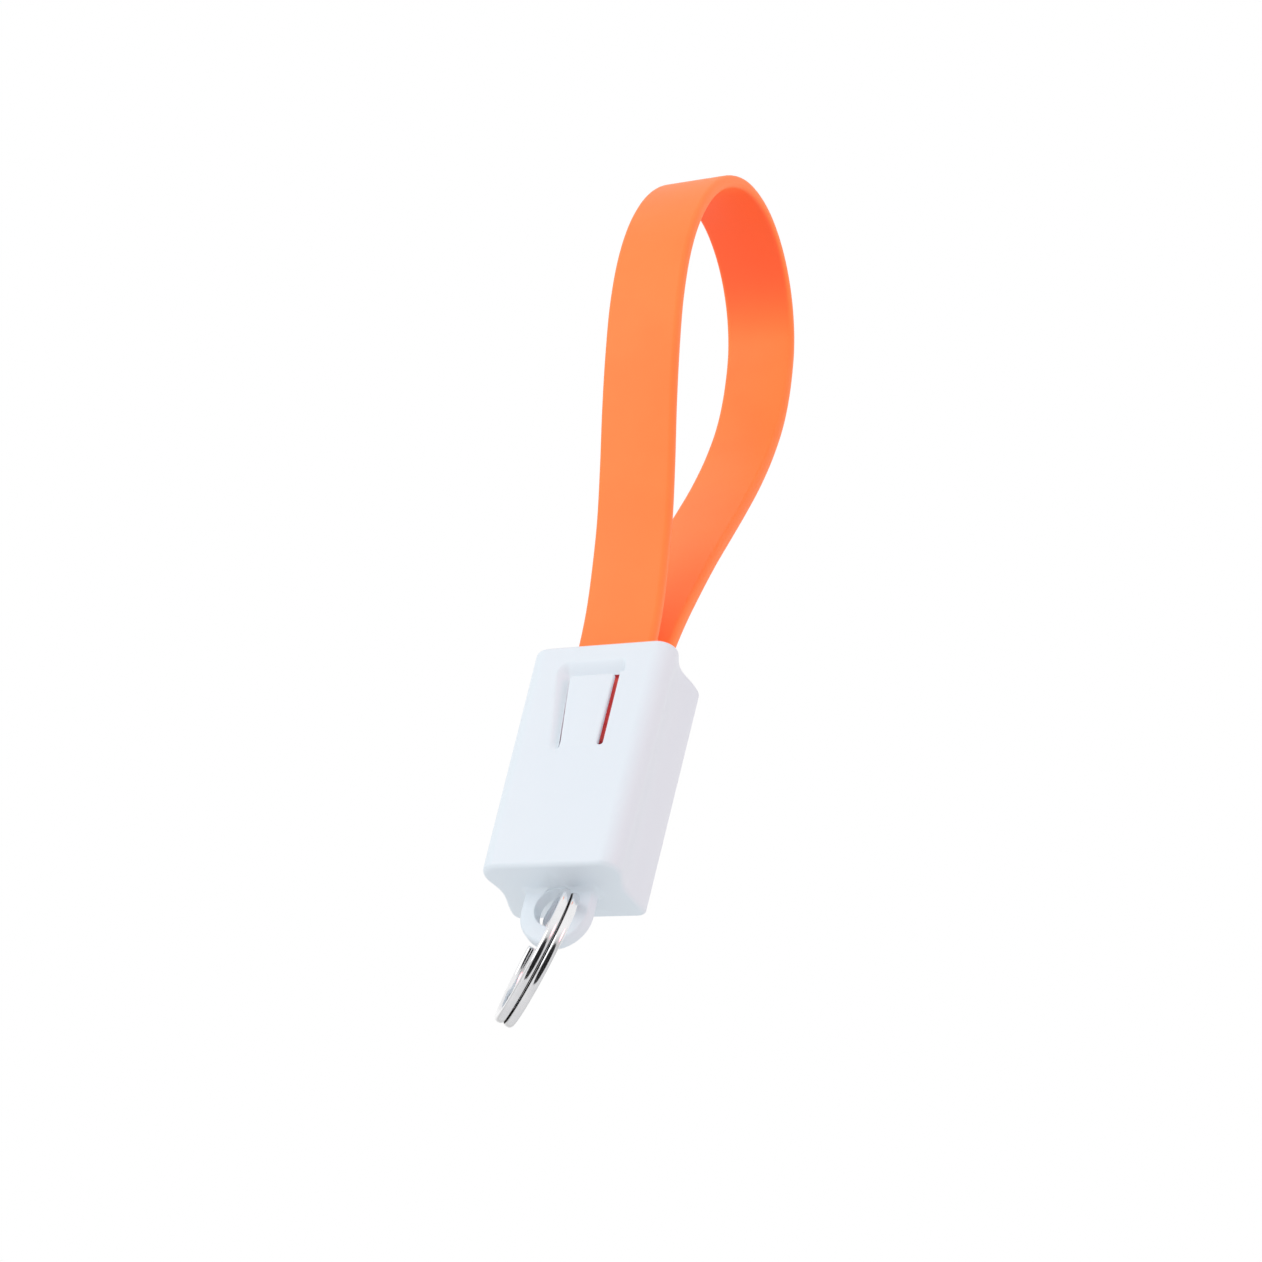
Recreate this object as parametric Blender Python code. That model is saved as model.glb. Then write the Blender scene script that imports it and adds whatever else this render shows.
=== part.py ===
"""Key-ring charging cable: a flat cable looped into a small moulded holder with a split ring.

Metres, +Z up. The front of the holder faces -Y. The origin is the inside top of the loop, where the
cable hangs from a finger or a hook. Inside the script, pieces are placed from the middle of the holder's
open top, which the empty holder_top carries down to its place under the loop.
"""
import bpy
import bmesh
from math import cos, pi, radians, sin, sqrt, tan
from mathutils import Euler, Vector

for old in list(bpy.data.objects):
    bpy.data.objects.remove(old, do_unlink=True)

MM = 0.001

# Flat cable and its four wires
CABLE_WIDTH = 10.0 * MM
CABLE_EDGE_RADIUS = 0.6 * MM
WIRE_RADIUS = 0.35 * MM
WIRE_CLEARANCE = 0.25 * MM
WIRE_FROM_EDGE = 1.5 * MM
JACKET_WALL = 0.3 * MM

# Plug mouldings
MOULD_SIDE = 1.3 * MM
MOULD_WALL = 0.35 * MM
MOULD_LIP = 0.225 * MM
MOULD_EDGE_RADIUS = 0.7 * MM
PLUG_SINK = 0.5 * MM
JACKET_GRIP = 4.0 * MM
JACKET_CLEARANCE = 0.2 * MM
CHARGER_WIRE_RUN = 5.0 * MM
PHONE_WIRE_RUN = 4.0 * MM
TAIL_LENGTH = 4.0 * MM

# Wide plug for the charger
CHARGER_SHELL_WIDTH = 12.0 * MM
CHARGER_SHELL_THICKNESS = 4.5 * MM
CHARGER_SHELL_LENGTH = 12.0 * MM
CHARGER_SHELL_WALL = 0.4 * MM
CHARGER_SHELL_RADIUS = 0.7 * MM
WINDOW_SIZE = 2.4 * MM
WINDOW_PITCH = 5.6 * MM
WINDOW_FROM_TIP = 5.2 * MM
CHARGER_CONTACT_WIDTH = 1.0 * MM
CHARGER_CONTACT_THICKNESS = 0.3 * MM
DATA_CONTACT_SPACING = 1.0 * MM
POWER_CONTACT_SETBACK = 1.2 * MM
DATA_CONTACT_SETBACK = 2.2 * MM

# Small plug for the phone
PHONE_SHELL_WIDTH = 6.9 * MM
PHONE_SHELL_THICKNESS = 2.0 * MM
PHONE_SHELL_LENGTH = 6.0 * MM
PHONE_SHELL_WALL = 0.25 * MM
PHONE_SHELL_CHAMFER = 0.6 * MM
PHONE_CONTACT_WIDTH = 0.4 * MM
PHONE_CONTACT_THICKNESS = 0.2 * MM
PHONE_CONTACT_PITCH = 0.75 * MM
PHONE_CONTACT_SETBACK = 0.8 * MM
HOOK_WIDTH = 0.45 * MM
HOOK_THICKNESS = 0.4 * MM
HOOK_REACH = 0.45 * MM
HOOK_SETBACK = 1.0 * MM
HOOK_BARB_LENGTH = 1.2 * MM
HOOK_BODY_LENGTH = 4.2 * MM

# Holder sleeve
PLUG_CLEARANCE = 0.25 * MM
SIDE_WALL = 1.65 * MM
WAIST_INSET = 0.8 * MM
REAR_NARROWING = 0.65 * MM
FOOT_NARROWING = 0.7 * MM
FRONT_WALL = 1.35 * MM
REAR_WALL = 1.2 * MM
FLOOR = 1.8 * MM
TIP_ROOM = 4.1 * MM
FRONT_EDGE_RADIUS = 2.0 * MM
REAR_EDGE_RADIUS = 0.8 * MM
RIM_RADIUS = 0.6 * MM

# Latch tongue and the recess round it
TONGUE_TIP_WIDTH = 5.75 * MM
TONGUE_ROOT_WIDTH = 4.95 * MM
TONGUE_ROOT_SHIFT = 0.25 * MM
TONGUE_LENGTH = 10.2 * MM
TONGUE_FROM_TOP = 5.0 * MM
TONGUE_RELIEF = 0.25 * MM
TONGUE_SINK = 0.1 * MM
NUB_WIDTH = 3.0 * MM
NUB_LENGTH = 1.2 * MM
SLIT = 0.6 * MM
ROOT_GAP = 0.25 * MM
RECESS_MARGIN = 0.9 * MM
RECESS_TOP_MARGIN = 1.4 * MM
RECESS_OVERCUT = 1.5
RECESS_FLOOR = 0.5 * MM

# Lug and split ring
LUG_WALL = 1.45 * MM
LUG_HOLE_ROOM = 0.54 * MM
LUG_THICKNESS = 1.8 * MM
LUG_BRIDGE = 0.22 * MM
LUG_EDGE_RADIUS = 0.4 * MM
RING_OUTER_RADIUS = 8.1 * MM
RING_WIRE_DEPTH = 1.15 * MM
RING_WIRE_WIDTH = 0.86 * MM
RING_COIL_GAP = 0.43 * MM
RING_LIFT = 0.4 * MM
RING_YAW = radians(37.5)
RING_LEAN = radians(9.5)
RING_PITCH = radians(-10)
RING_CROSSING = radians(60)
RING_CROSSING_AT = radians(100)
RING_END_GAP = radians(6)
RING_STEPS = 34

# Clearances between pieces that touch on the real object
SEAT_GAP = 0.2 * MM
CONTACT_GAP = 0.12 * MM

# The loop's route above the holder's top, front leg first: depth from the holder's middle, and height, in mm
ROUTE = [
    (-1.6, 3.0), (-2.1, 8.0), (-3.3, 13.5), (-5.2, 20.0), (-8.0, 26.8), (-11.1, 33.6), (-13.9, 40.6),
    (-16.2, 47.8), (-17.3, 55.3), (-16.8, 62.7), (-14.6, 69.8), (-10.7, 76.0), (-5.2, 80.8), (1.6, 83.2),
    (8.3, 82.6), (14.0, 79.4), (18.0, 74.2), (19.9, 67.5), (20.3, 60.4), (19.2, 53.0), (17.2, 45.7),
    (14.7, 38.7), (12.0, 31.8), (9.3, 25.0), (6.9, 18.2), (4.9, 12.0), (3.5, 6.6), (2.8, 2.6),
]
ROUTE_POINTS = 44

# Sizes that follow from the ones above
channel_radius = WIRE_RADIUS + WIRE_CLEARANCE
cable_thickness = 2 * (channel_radius + JACKET_WALL)
slot_width = CABLE_WIDTH + 2 * JACKET_CLEARANCE
slot_thickness = cable_thickness + 2 * JACKET_CLEARANCE
mould_width = max(slot_width + 2 * MOULD_SIDE, CHARGER_SHELL_WIDTH + 2 * MOULD_LIP)
charger_mould_thickness = max(CHARGER_SHELL_THICKNESS + 2 * MOULD_LIP, slot_thickness + 2 * MOULD_WALL)
phone_mould_thickness = max(PHONE_SHELL_THICKNESS + 2 * MOULD_LIP, slot_thickness + 2 * MOULD_WALL)
charger_mould_length = JACKET_GRIP + CHARGER_WIRE_RUN + TAIL_LENGTH
phone_mould_length = JACKET_GRIP + PHONE_WIRE_RUN + TAIL_LENGTH
pocket_width = mould_width + 2 * PLUG_CLEARANCE
pocket_depth = charger_mould_thickness + phone_mould_thickness + 3 * PLUG_CLEARANCE
holder_width = pocket_width + 2 * (SIDE_WALL + WAIST_INSET)
holder_depth = pocket_depth + FRONT_WALL + REAR_WALL
front_y = -holder_depth / 2
rear_y = holder_depth / 2
pocket_front_y = front_y + FRONT_WALL
charger_y = pocket_front_y + PLUG_CLEARANCE + charger_mould_thickness / 2
phone_y = charger_y + (charger_mould_thickness + phone_mould_thickness) / 2 + PLUG_CLEARANCE
plug_top_z = -PLUG_SINK
charger_mould_end_z = plug_top_z - charger_mould_length
charger_shell_top_z = charger_mould_end_z - SEAT_GAP
charger_tip_z = charger_shell_top_z - CHARGER_SHELL_LENGTH
phone_mould_end_z = plug_top_z - phone_mould_length
phone_shell_top_z = phone_mould_end_z - SEAT_GAP
phone_tip_z = phone_shell_top_z - PHONE_SHELL_LENGTH
pocket_ledge_z = min(charger_mould_end_z, phone_mould_end_z) - SEAT_GAP
pocket_floor_z = min(charger_tip_z, phone_tip_z) - TIP_ROOM
holder_foot_z = pocket_floor_z - FLOOR
foot_scale = 1 - 2 * FOOT_NARROWING / holder_width
tongue_tip_z = -TONGUE_FROM_TOP
tongue_root_z = tongue_tip_z - TONGUE_LENGTH
recess_depth = FRONT_WALL - RECESS_FLOOR
ring_bundle = RING_WIRE_WIDTH + RING_COIL_GAP / 2
lug_hole_radius = LUG_THICKNESS / 2 * tan(RING_YAW) + ring_bundle / cos(RING_YAW) + LUG_HOLE_ROOM
lug_radius = lug_hole_radius + LUG_WALL
lug_z = holder_foot_z - lug_hole_radius - LUG_BRIDGE
ring_pivot = Vector((0, 0, lug_z + RING_LIFT))
ring_mid_radius = RING_OUTER_RADIUS - RING_WIRE_DEPTH / 2
jacket_end_z = plug_top_z - JACKET_GRIP
power_place = CABLE_WIDTH / 2 - WIRE_FROM_EDGE
data_place = (CHARGER_CONTACT_WIDTH + DATA_CONTACT_SPACING) / 2
wire_places = (-power_place, -data_place, data_place, power_place)
charger_tail_z = charger_mould_end_z + TAIL_LENGTH
phone_tail_z = phone_mould_end_z + TAIL_LENGTH


def smooth_route(points, count):
    """Read count points, evenly spaced, from a smooth curve through the given points."""
    fine = []
    last = len(points) - 1
    for i in range(last):
        before = points[max(i - 1, 0)]
        start = points[i]
        end = points[i + 1]
        after = points[min(i + 2, last)]
        for step in range(16):
            t = step / 16
            pull_in = (end - before) / 2
            pull_out = (after - start) / 2
            fine.append(start * (2 * t**3 - 3 * t**2 + 1) + pull_in * (t**3 - 2 * t**2 + t)
                        + end * (3 * t**2 - 2 * t**3) + pull_out * (t**3 - t**2))
    fine.append(points[last])
    lengths = [0.0]
    for a, b in zip(fine, fine[1:]):
        lengths.append(lengths[-1] + (b - a).length)
    even = []
    at = 0
    for k in range(count):
        want = lengths[-1] * k / (count - 1)
        while at < len(fine) - 2 and lengths[at + 1] < want:
            at += 1
        share = (want - lengths[at]) / (lengths[at + 1] - lengths[at])
        even.append(fine[at].lerp(fine[at + 1], min(max(share, 0), 1)))
    return even, lengths[-1]


route_points = [Vector((0, charger_y, jacket_end_z)), Vector((0, charger_y, 0))]
route_points += [Vector((0, y * MM, z * MM)) for y, z in ROUTE]
route_points += [Vector((0, phone_y, 0)), Vector((0, phone_y, jacket_end_z))]
cable_route, cable_length = smooth_route(route_points, ROUTE_POINTS)
loop_top = max(cable_route, key=lambda p: p.z)
print(f"cable between the plugs: {cable_length / MM:.1f} mm")

holder_top = bpy.data.objects.new("holder_top", None)
holder_top.location = (0, -loop_top.y, -(loop_top.z - cable_thickness / 2))
bpy.context.scene.collection.objects.link(holder_top)


def paint(name, colour, roughness, metallic=0.0):
    material = bpy.data.materials.new(name)
    material.use_nodes = True
    shader = material.node_tree.nodes["Principled BSDF"]
    shader.inputs["Base Color"].default_value = (*colour, 1)
    shader.inputs["Roughness"].default_value = roughness
    shader.inputs["Metallic"].default_value = metallic
    return material


white_plastic = paint("white_plastic", (0.85, 0.88, 0.91), 0.38)
orange_jacket = paint("orange_jacket", (1.0, 0.27, 0.09), 0.5)
orange_moulding = paint("orange_moulding", (0.95, 0.22, 0.06), 0.55)
bright_nickel = paint("bright_nickel", (0.82, 0.82, 0.84), 0.12, 1.0)
steel_tube = paint("steel_tube", (0.72, 0.73, 0.75), 0.25, 1.0)
gilt = paint("gilt", (0.95, 0.7, 0.3), 0.25, 1.0)
white_carrier = paint("white_carrier", (0.8, 0.8, 0.78), 0.5)
black_plastic = paint("black_plastic", (0.02, 0.02, 0.022), 0.45)
wire_paints = {
    "wire_red": paint("red_insulation", (0.6, 0.02, 0.02), 0.45),
    "wire_white": paint("white_insulation", (0.8, 0.8, 0.8), 0.45),
    "wire_green": paint("green_insulation", (0.02, 0.35, 0.08), 0.45),
    "wire_black": paint("black_insulation", (0.02, 0.02, 0.02), 0.45),
}


def add(name, bm, material, at=(0, 0, 0)):
    """Make a named object from a bmesh, with its origin at the given place under the holder's top."""
    bmesh.ops.recalc_face_normals(bm, faces=bm.faces)
    mesh = bpy.data.meshes.new(name)
    bm.to_mesh(mesh)
    bm.free()
    obj = bpy.data.objects.new(name, mesh)
    obj.location = at
    obj.parent = holder_top
    if material:
        mesh.materials.append(material)
    mesh.shade_smooth()
    mesh.set_sharp_from_angle(angle=radians(35))
    bpy.context.scene.collection.objects.link(obj)
    return obj


def helper(name, bm):
    """A hidden shape that another piece is cut by or joined with."""
    obj = add(name, bm, None)
    obj.hide_render = True
    obj.display_type = "WIRE"
    return obj


def combine(obj, other, operation):
    boolean = obj.modifiers.new(other.name, "BOOLEAN")
    boolean.operation = operation
    boolean.solver = "EXACT"
    boolean.object = other


def box(bm, low, high):
    """A plain box between two corners."""
    made = bmesh.ops.create_cube(bm, size=1)
    low, high = Vector(low), Vector(high)
    for vert in made["verts"]:
        vert.co = Vector(((vert.co[i] + 0.5) * (high[i] - low[i]) + low[i] for i in range(3)))
    return made["verts"]


def boxes(*corners):
    bm = bmesh.new()
    for low, high in corners:
        box(bm, low, high)
    return bm


def rounded_outline(width, height, radius, steps):
    """Corner points of a rectangle with round corners, about its middle."""
    points = []
    for quarter in range(4):
        sx = 1 if quarter in (0, 3) else -1
        sy = 1 if quarter < 2 else -1
        for step in range(steps + 1):
            angle = pi / 2 * (quarter + step / steps)
            points.append((sx * (width / 2 - radius) + radius * cos(angle),
                           sy * (height / 2 - radius) + radius * sin(angle)))
    return points


def loft(bm, rings, closed_ends=True):
    """Skin rings of points, each with the same number of points, and close the two ends."""
    rows = [[bm.verts.new(point) for point in ring] for ring in rings]
    count = len(rows[0])
    for lower, upper in zip(rows, rows[1:]):
        for i in range(count):
            j = (i + 1) % count
            bm.faces.new((lower[i], lower[j], upper[j], upper[i]))
    if closed_ends:
        bm.faces.new(rows[0])
        bm.faces.new(rows[-1])
    return rows


def prism_y(bm, outline, y0, y1):
    """A flat outline in X and Z, run from one depth to another."""
    loft(bm, [[(x, y0, z) for x, z in outline], [(x, y1, z) for x, z in outline]])


def column(width, thickness, radius, middle_y, z0, z1):
    """An upright bar of round-cornered section."""
    bm = bmesh.new()
    outline = rounded_outline(width, thickness, radius, 3)
    loft(bm, [[(x, middle_y + y, z) for x, y in outline] for z in (z0, z1)])
    return bm


# Cable jacket: one flat strip with a channel for each wire
def route_frames(points):
    """Each point of the route with the direction across the strip's thickness there."""
    frames = []
    last = len(points) - 1
    for i, point in enumerate(points):
        along = points[min(i + 1, last)] - points[max(i - 1, 0)]
        frames.append((point, Vector((0, along.z, -along.y)).normalized()))
    return frames


def jacket():
    bm = bmesh.new()
    frames = route_frames(cable_route)
    edge_radius = min(CABLE_EDGE_RADIUS, cable_thickness / 2 - JACKET_WALL)
    loops = [rounded_outline(CABLE_WIDTH, cable_thickness, edge_radius, 3)]
    for place in wire_places:
        turns = [pi / 3 * k for k in range(6)]
        loops.append([(place + channel_radius * cos(a), channel_radius * sin(a)) for a in turns])
    end_edges = {0: [], len(frames) - 1: []}
    for loop in loops:
        rows = loft(bm, [[Vector((u, 0, 0)) + point + across * w for u, w in loop]
                         for point, across in frames], closed_ends=False)
        for i, edges in end_edges.items():
            row = rows[i]
            edges += [bm.edges.get((a, b)) for a, b in zip(row, row[1:] + row[:1])]
    for edges in end_edges.values():
        bmesh.ops.triangle_fill(bm, edges=edges, use_beauty=True)
    return bm


add("cable_jacket", jacket(), orange_jacket)


# Wires: straight out of the jacket at both ends, down to the contacts
for place, (name, material) in zip(wire_places, wire_paints.items()):
    curve = bpy.data.curves.new(name, "CURVE")
    curve.dimensions = "3D"
    curve.bevel_depth = WIRE_RADIUS
    curve.bevel_resolution = 1
    curve.use_fill_caps = True
    points = [Vector((0, charger_y, charger_tail_z + CONTACT_GAP))] + cable_route
    points += [Vector((0, phone_y, phone_tail_z + CONTACT_GAP))]
    spline = curve.splines.new("POLY")
    spline.points.add(len(points) - 1)
    for slot, point in zip(spline.points, points):
        slot.co = (place, point.y, point.z, 1)
    curve.materials.append(material)
    wire = bpy.data.objects.new(name, curve)
    wire.parent = holder_top
    bpy.context.scene.collection.objects.link(wire)


# Plug mouldings: round-edged blocks with a slot for the jacket and a pocket for the plug's tail
def moulding(name, middle_y, thickness, end_z, tail_width, tail_rear):
    bm = column(mould_width, thickness, MOULD_EDGE_RADIUS, middle_y, end_z, plug_top_z)
    block = add(name, bm, orange_moulding)
    tail_z = end_z + TAIL_LENGTH
    slot_floor_z = jacket_end_z - SEAT_GAP
    wire_reach = power_place + channel_radius
    hollow = boxes(((-slot_width / 2, middle_y - slot_thickness / 2, slot_floor_z),
                    (slot_width / 2, middle_y + slot_thickness / 2, plug_top_z + SEAT_GAP)))
    combine(block, helper(name + "_slot", hollow), "DIFFERENCE")
    hollow = boxes(((-wire_reach, middle_y - channel_radius, tail_z - SEAT_GAP),
                    (wire_reach, middle_y + channel_radius, slot_floor_z + SEAT_GAP)))
    combine(block, helper(name + "_wireway", hollow), "DIFFERENCE")
    hollow = boxes(((-tail_width / 2 - SEAT_GAP, middle_y - channel_radius, end_z - SEAT_GAP),
                    (tail_width / 2 + SEAT_GAP, middle_y + tail_rear + CONTACT_GAP, tail_z + CONTACT_GAP)))
    combine(block, helper(name + "_pocket", hollow), "DIFFERENCE")


charger_inside_y = CHARGER_SHELL_THICKNESS / 2 - CHARGER_SHELL_WALL
charger_carrier_front = CHARGER_CONTACT_THICKNESS / 2 + CONTACT_GAP
charger_carrier_rear = charger_inside_y - SEAT_GAP
charger_carrier_width = CHARGER_SHELL_WIDTH - 2 * (CHARGER_SHELL_WALL + CHARGER_SHELL_RADIUS / 2)
moulding("charger_plug_overmould", charger_y, charger_mould_thickness, charger_mould_end_z,
         charger_carrier_width, charger_carrier_rear)

phone_inside_y = PHONE_SHELL_THICKNESS / 2 - PHONE_SHELL_WALL
phone_insulator_front = PHONE_CONTACT_THICKNESS / 2 + CONTACT_GAP
phone_insulator_rear = phone_inside_y - CONTACT_GAP
moulding("phone_plug_overmould", phone_y, phone_mould_thickness, phone_mould_end_z,
         2 * (power_place + WIRE_RADIUS), phone_insulator_rear)


def tube(bm, outer, inner, middle_y, z0, z1):
    """An upright tube between two outlines with the same number of points."""
    rows = []
    for outline in (outer, inner):
        for z in (z0, z1):
            rows.append([bm.verts.new((x, middle_y + y, z)) for x, y in outline])
    outer_low, outer_high, inner_low, inner_high = rows
    pairs = ((outer_low, outer_high), (outer_high, inner_high),
             (inner_high, inner_low), (inner_low, outer_low))
    count = len(outer)
    for first, second in pairs:
        for i in range(count):
            j = (i + 1) % count
            bm.faces.new((first[i], first[j], second[j], second[i]))


# Wide plug's steel tube, with two windows in each broad side
def charger_shell():
    bm = bmesh.new()
    outer = rounded_outline(CHARGER_SHELL_WIDTH, CHARGER_SHELL_THICKNESS, CHARGER_SHELL_RADIUS, 2)
    inner = rounded_outline(CHARGER_SHELL_WIDTH - 2 * CHARGER_SHELL_WALL,
                            CHARGER_SHELL_THICKNESS - 2 * CHARGER_SHELL_WALL,
                            max(CHARGER_SHELL_RADIUS - CHARGER_SHELL_WALL, CONTACT_GAP), 2)
    tube(bm, outer, inner, charger_y, charger_tip_z, charger_shell_top_z)
    return bm


shell = add("charger_plug_shell", charger_shell(), steel_tube)
window_z = charger_tip_z + WINDOW_FROM_TIP
window_reach = CHARGER_SHELL_THICKNESS / 2 + SEAT_GAP
for number, side_x in enumerate((-WINDOW_PITCH / 2, WINDOW_PITCH / 2), 1):
    window = boxes(((side_x - WINDOW_SIZE / 2, charger_y - window_reach, window_z),
                    (side_x + WINDOW_SIZE / 2, charger_y + window_reach, window_z + WINDOW_SIZE)))
    combine(shell, helper(f"charger_window_{number}", window), "DIFFERENCE")

add("charger_plug_carrier", boxes((
    (-charger_carrier_width / 2, charger_y + charger_carrier_front, charger_tip_z + CHARGER_SHELL_WALL),
    (charger_carrier_width / 2, charger_y + charger_carrier_rear, charger_tail_z - SEAT_GAP))), white_carrier)

for number, place in enumerate(wire_places, 1):
    setback = POWER_CONTACT_SETBACK if number in (1, 4) else DATA_CONTACT_SETBACK
    half = CHARGER_CONTACT_WIDTH / 2
    add(f"charger_plug_contact_{number}", boxes((
        (place - half, charger_y - CHARGER_CONTACT_THICKNESS / 2, charger_tip_z + setback),
        (place + half, charger_y + CHARGER_CONTACT_THICKNESS / 2, charger_tail_z))), gilt)


# Small plug's steel tube, chamfered along its rear corners, with a slit for each catch
def phone_outline(shrink):
    half = PHONE_SHELL_WIDTH / 2 - shrink
    thick = PHONE_SHELL_THICKNESS / 2 - shrink
    cut = PHONE_SHELL_CHAMFER
    return [(-half, -thick), (half, -thick), (half, thick - cut), (half - cut, thick),
            (-half + cut, thick), (-half, thick - cut)]


bm = bmesh.new()
tube(bm, phone_outline(0), phone_outline(PHONE_SHELL_WALL), phone_y, phone_tip_z, phone_shell_top_z)
phone_shell = add("phone_plug_shell", bm, steel_tube)
hook_x = PHONE_SHELL_WIDTH / 2 - PHONE_SHELL_WALL - CONTACT_GAP - HOOK_WIDTH / 2
hook_front_y = phone_y - phone_inside_y + CONTACT_GAP
barb_front_y = phone_y - PHONE_SHELL_THICKNESS / 2 - HOOK_REACH
barb_z = phone_tip_z + HOOK_SETBACK
for side, sign in (("left", -1), ("right", 1)):
    near = sign * hook_x - HOOK_WIDTH / 2
    far = sign * hook_x + HOOK_WIDTH / 2
    slit = boxes(((near - CONTACT_GAP, barb_front_y, barb_z - CONTACT_GAP),
                  (far + CONTACT_GAP, phone_y - phone_inside_y + CONTACT_GAP,
                   barb_z + HOOK_BARB_LENGTH + CONTACT_GAP)))
    combine(phone_shell, helper(f"phone_slit_{side}", slit), "DIFFERENCE")
    bm = bmesh.new()
    depth = hook_front_y + HOOK_THICKNESS - phone_y
    profile = [(hook_front_y - phone_y, barb_z + HOOK_BODY_LENGTH), (depth, barb_z + HOOK_BODY_LENGTH),
               (depth, barb_z), (hook_front_y - phone_y, barb_z),
               (barb_front_y - phone_y, barb_z + HOOK_REACH),
               (barb_front_y - phone_y, barb_z + HOOK_BARB_LENGTH),
               (hook_front_y - phone_y, barb_z + HOOK_BARB_LENGTH)]
    loft(bm, [[(x - sign * hook_x, y, z - barb_z) for y, z in profile] for x in (near, far)])
    add(f"phone_plug_hook_{side}", bm, steel_tube, (sign * hook_x, phone_y, barb_z))

insulator_half = hook_x - HOOK_WIDTH / 2 - CONTACT_GAP
add("phone_plug_insulator", boxes((
    (-insulator_half, phone_y + phone_insulator_front, phone_tip_z + PHONE_SHELL_WALL),
    (insulator_half, phone_y + phone_insulator_rear, phone_tail_z - SEAT_GAP))), black_plastic)


# Small plug's contacts: close together at the tip, and four of them fanned out to the wires
def phone_contact(tip_x, tail_x):
    half = PHONE_CONTACT_WIDTH / 2
    low = phone_tip_z + PHONE_CONTACT_SETBACK
    bend = phone_mould_end_z + SEAT_GAP
    rise = bend + TAIL_LENGTH / 2
    if tail_x is None:
        outline = [(tip_x - half, low), (tip_x + half, low), (tip_x + half, bend), (tip_x - half, bend)]
    else:
        outline = [(tip_x - half, low), (tip_x + half, low), (tip_x + half, bend), (tail_x + half, rise),
                   (tail_x + half, phone_tail_z), (tail_x - half, phone_tail_z), (tail_x - half, rise),
                   (tip_x - half, bend)]
    bm = bmesh.new()
    prism_y(bm, outline, phone_y - PHONE_CONTACT_THICKNESS / 2, phone_y + PHONE_CONTACT_THICKNESS / 2)
    return bm


contact_tails = (wire_places[0], wire_places[1], wire_places[2], None, wire_places[3])
for number, tail_x in enumerate(contact_tails, 1):
    tip_x = (number - 3) * PHONE_CONTACT_PITCH
    add(f"phone_plug_contact_{number}", phone_contact(tip_x, tail_x), gilt)


# Holder sleeve: waisted section, drawn in towards its foot, joined with its lug and then hollowed
def holder_outline():
    side = []
    half_front = holder_width / 2
    half_rear = half_front - REAR_NARROWING
    for step in range(5):
        angle = pi / 2 * (step / 4 - 1)
        side.append((half_front - FRONT_EDGE_RADIUS * (1 - cos(angle)),
                     front_y + FRONT_EDGE_RADIUS * (1 + sin(angle))))
    run = holder_depth - FRONT_EDGE_RADIUS - REAR_EDGE_RADIUS
    for step in range(1, 10):
        t = step / 10
        side.append((half_front - REAR_NARROWING * t - WAIST_INSET * sin(pi * t) ** 2,
                     front_y + FRONT_EDGE_RADIUS + run * t))
    for step in range(4):
        angle = pi / 2 * step / 3
        side.append((half_rear - REAR_EDGE_RADIUS * (1 - cos(angle)),
                     rear_y - REAR_EDGE_RADIUS * (1 - sin(angle))))
    return side + [(-x, y) for x, y in reversed(side)]


def holder_block():
    bm = bmesh.new()
    outline = holder_outline()
    rim = []
    for step in range(3):
        angle = pi / 2 * step / 2
        rim.append((RIM_RADIUS * (1 - sin(angle)), RIM_RADIUS * (1 - cos(angle))))
    levels = [(holder_foot_z + rise, inset) for inset, rise in rim]
    levels += [(-rise, inset) for inset, rise in reversed(rim)]
    rings = []
    for z, inset in levels:
        draft = 1 - (1 - foot_scale) * z / holder_foot_z
        wide = draft * (1 - 2 * inset / holder_width)
        deep = 1 - 2 * inset / holder_depth
        rings.append([(x * wide, y * deep, z) for x, y in outline])
    loft(bm, rings)
    return bm


def lug_tab():
    outline = [(lug_radius, holder_foot_z + FLOOR / 2)]
    for step in range(17):
        angle = pi * step / 16
        outline.append((lug_radius * cos(angle), lug_z - lug_radius * sin(angle)))
    outline.append((-lug_radius, holder_foot_z + FLOOR / 2))
    bm = bmesh.new()
    half = LUG_THICKNESS / 2
    soft = LUG_EDGE_RADIUS * (1 - sqrt(0.5))
    layers = ((-half, LUG_EDGE_RADIUS), (-half + soft, soft), (-half + LUG_EDGE_RADIUS, 0),
              (half - LUG_EDGE_RADIUS, 0), (half - soft, soft), (half, LUG_EDGE_RADIUS))
    rings = []
    for y, inset in layers:
        shrink = 1 - inset / lug_radius
        rings.append([(x * shrink, y, z if z > lug_z else lug_z + (z - lug_z) * shrink) for x, z in outline])
    loft(bm, rings)
    return bm


def lug_hole():
    bm = bmesh.new()
    half = LUG_THICKNESS / 2
    flare = LUG_EDGE_RADIUS / 2
    layers = ((-half - SEAT_GAP, flare), (-half, flare), (-half + flare, 0),
              (half - flare, 0), (half, flare), (half + SEAT_GAP, flare))
    rings = []
    for y, grow in layers:
        radius = lug_hole_radius + grow
        turns = [2 * pi * k / 24 for k in range(24)]
        rings.append([(radius * cos(a), y, lug_z + radius * sin(a)) for a in turns])
    loft(bm, rings)
    return bm


def tongue_outline(grow_side, grow_tip, grow_root):
    """The tongue's four corners, widened on its sides and lengthened at its tip and root."""
    root = TONGUE_ROOT_WIDTH / 2 + grow_side
    tip = TONGUE_TIP_WIDTH / 2 + grow_side
    root_z = tongue_root_z - grow_root
    return [(TONGUE_ROOT_SHIFT - root, root_z), (TONGUE_ROOT_SHIFT + root, root_z),
            (tip, tongue_tip_z + grow_tip), (-tip, tongue_tip_z + grow_tip)]


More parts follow.
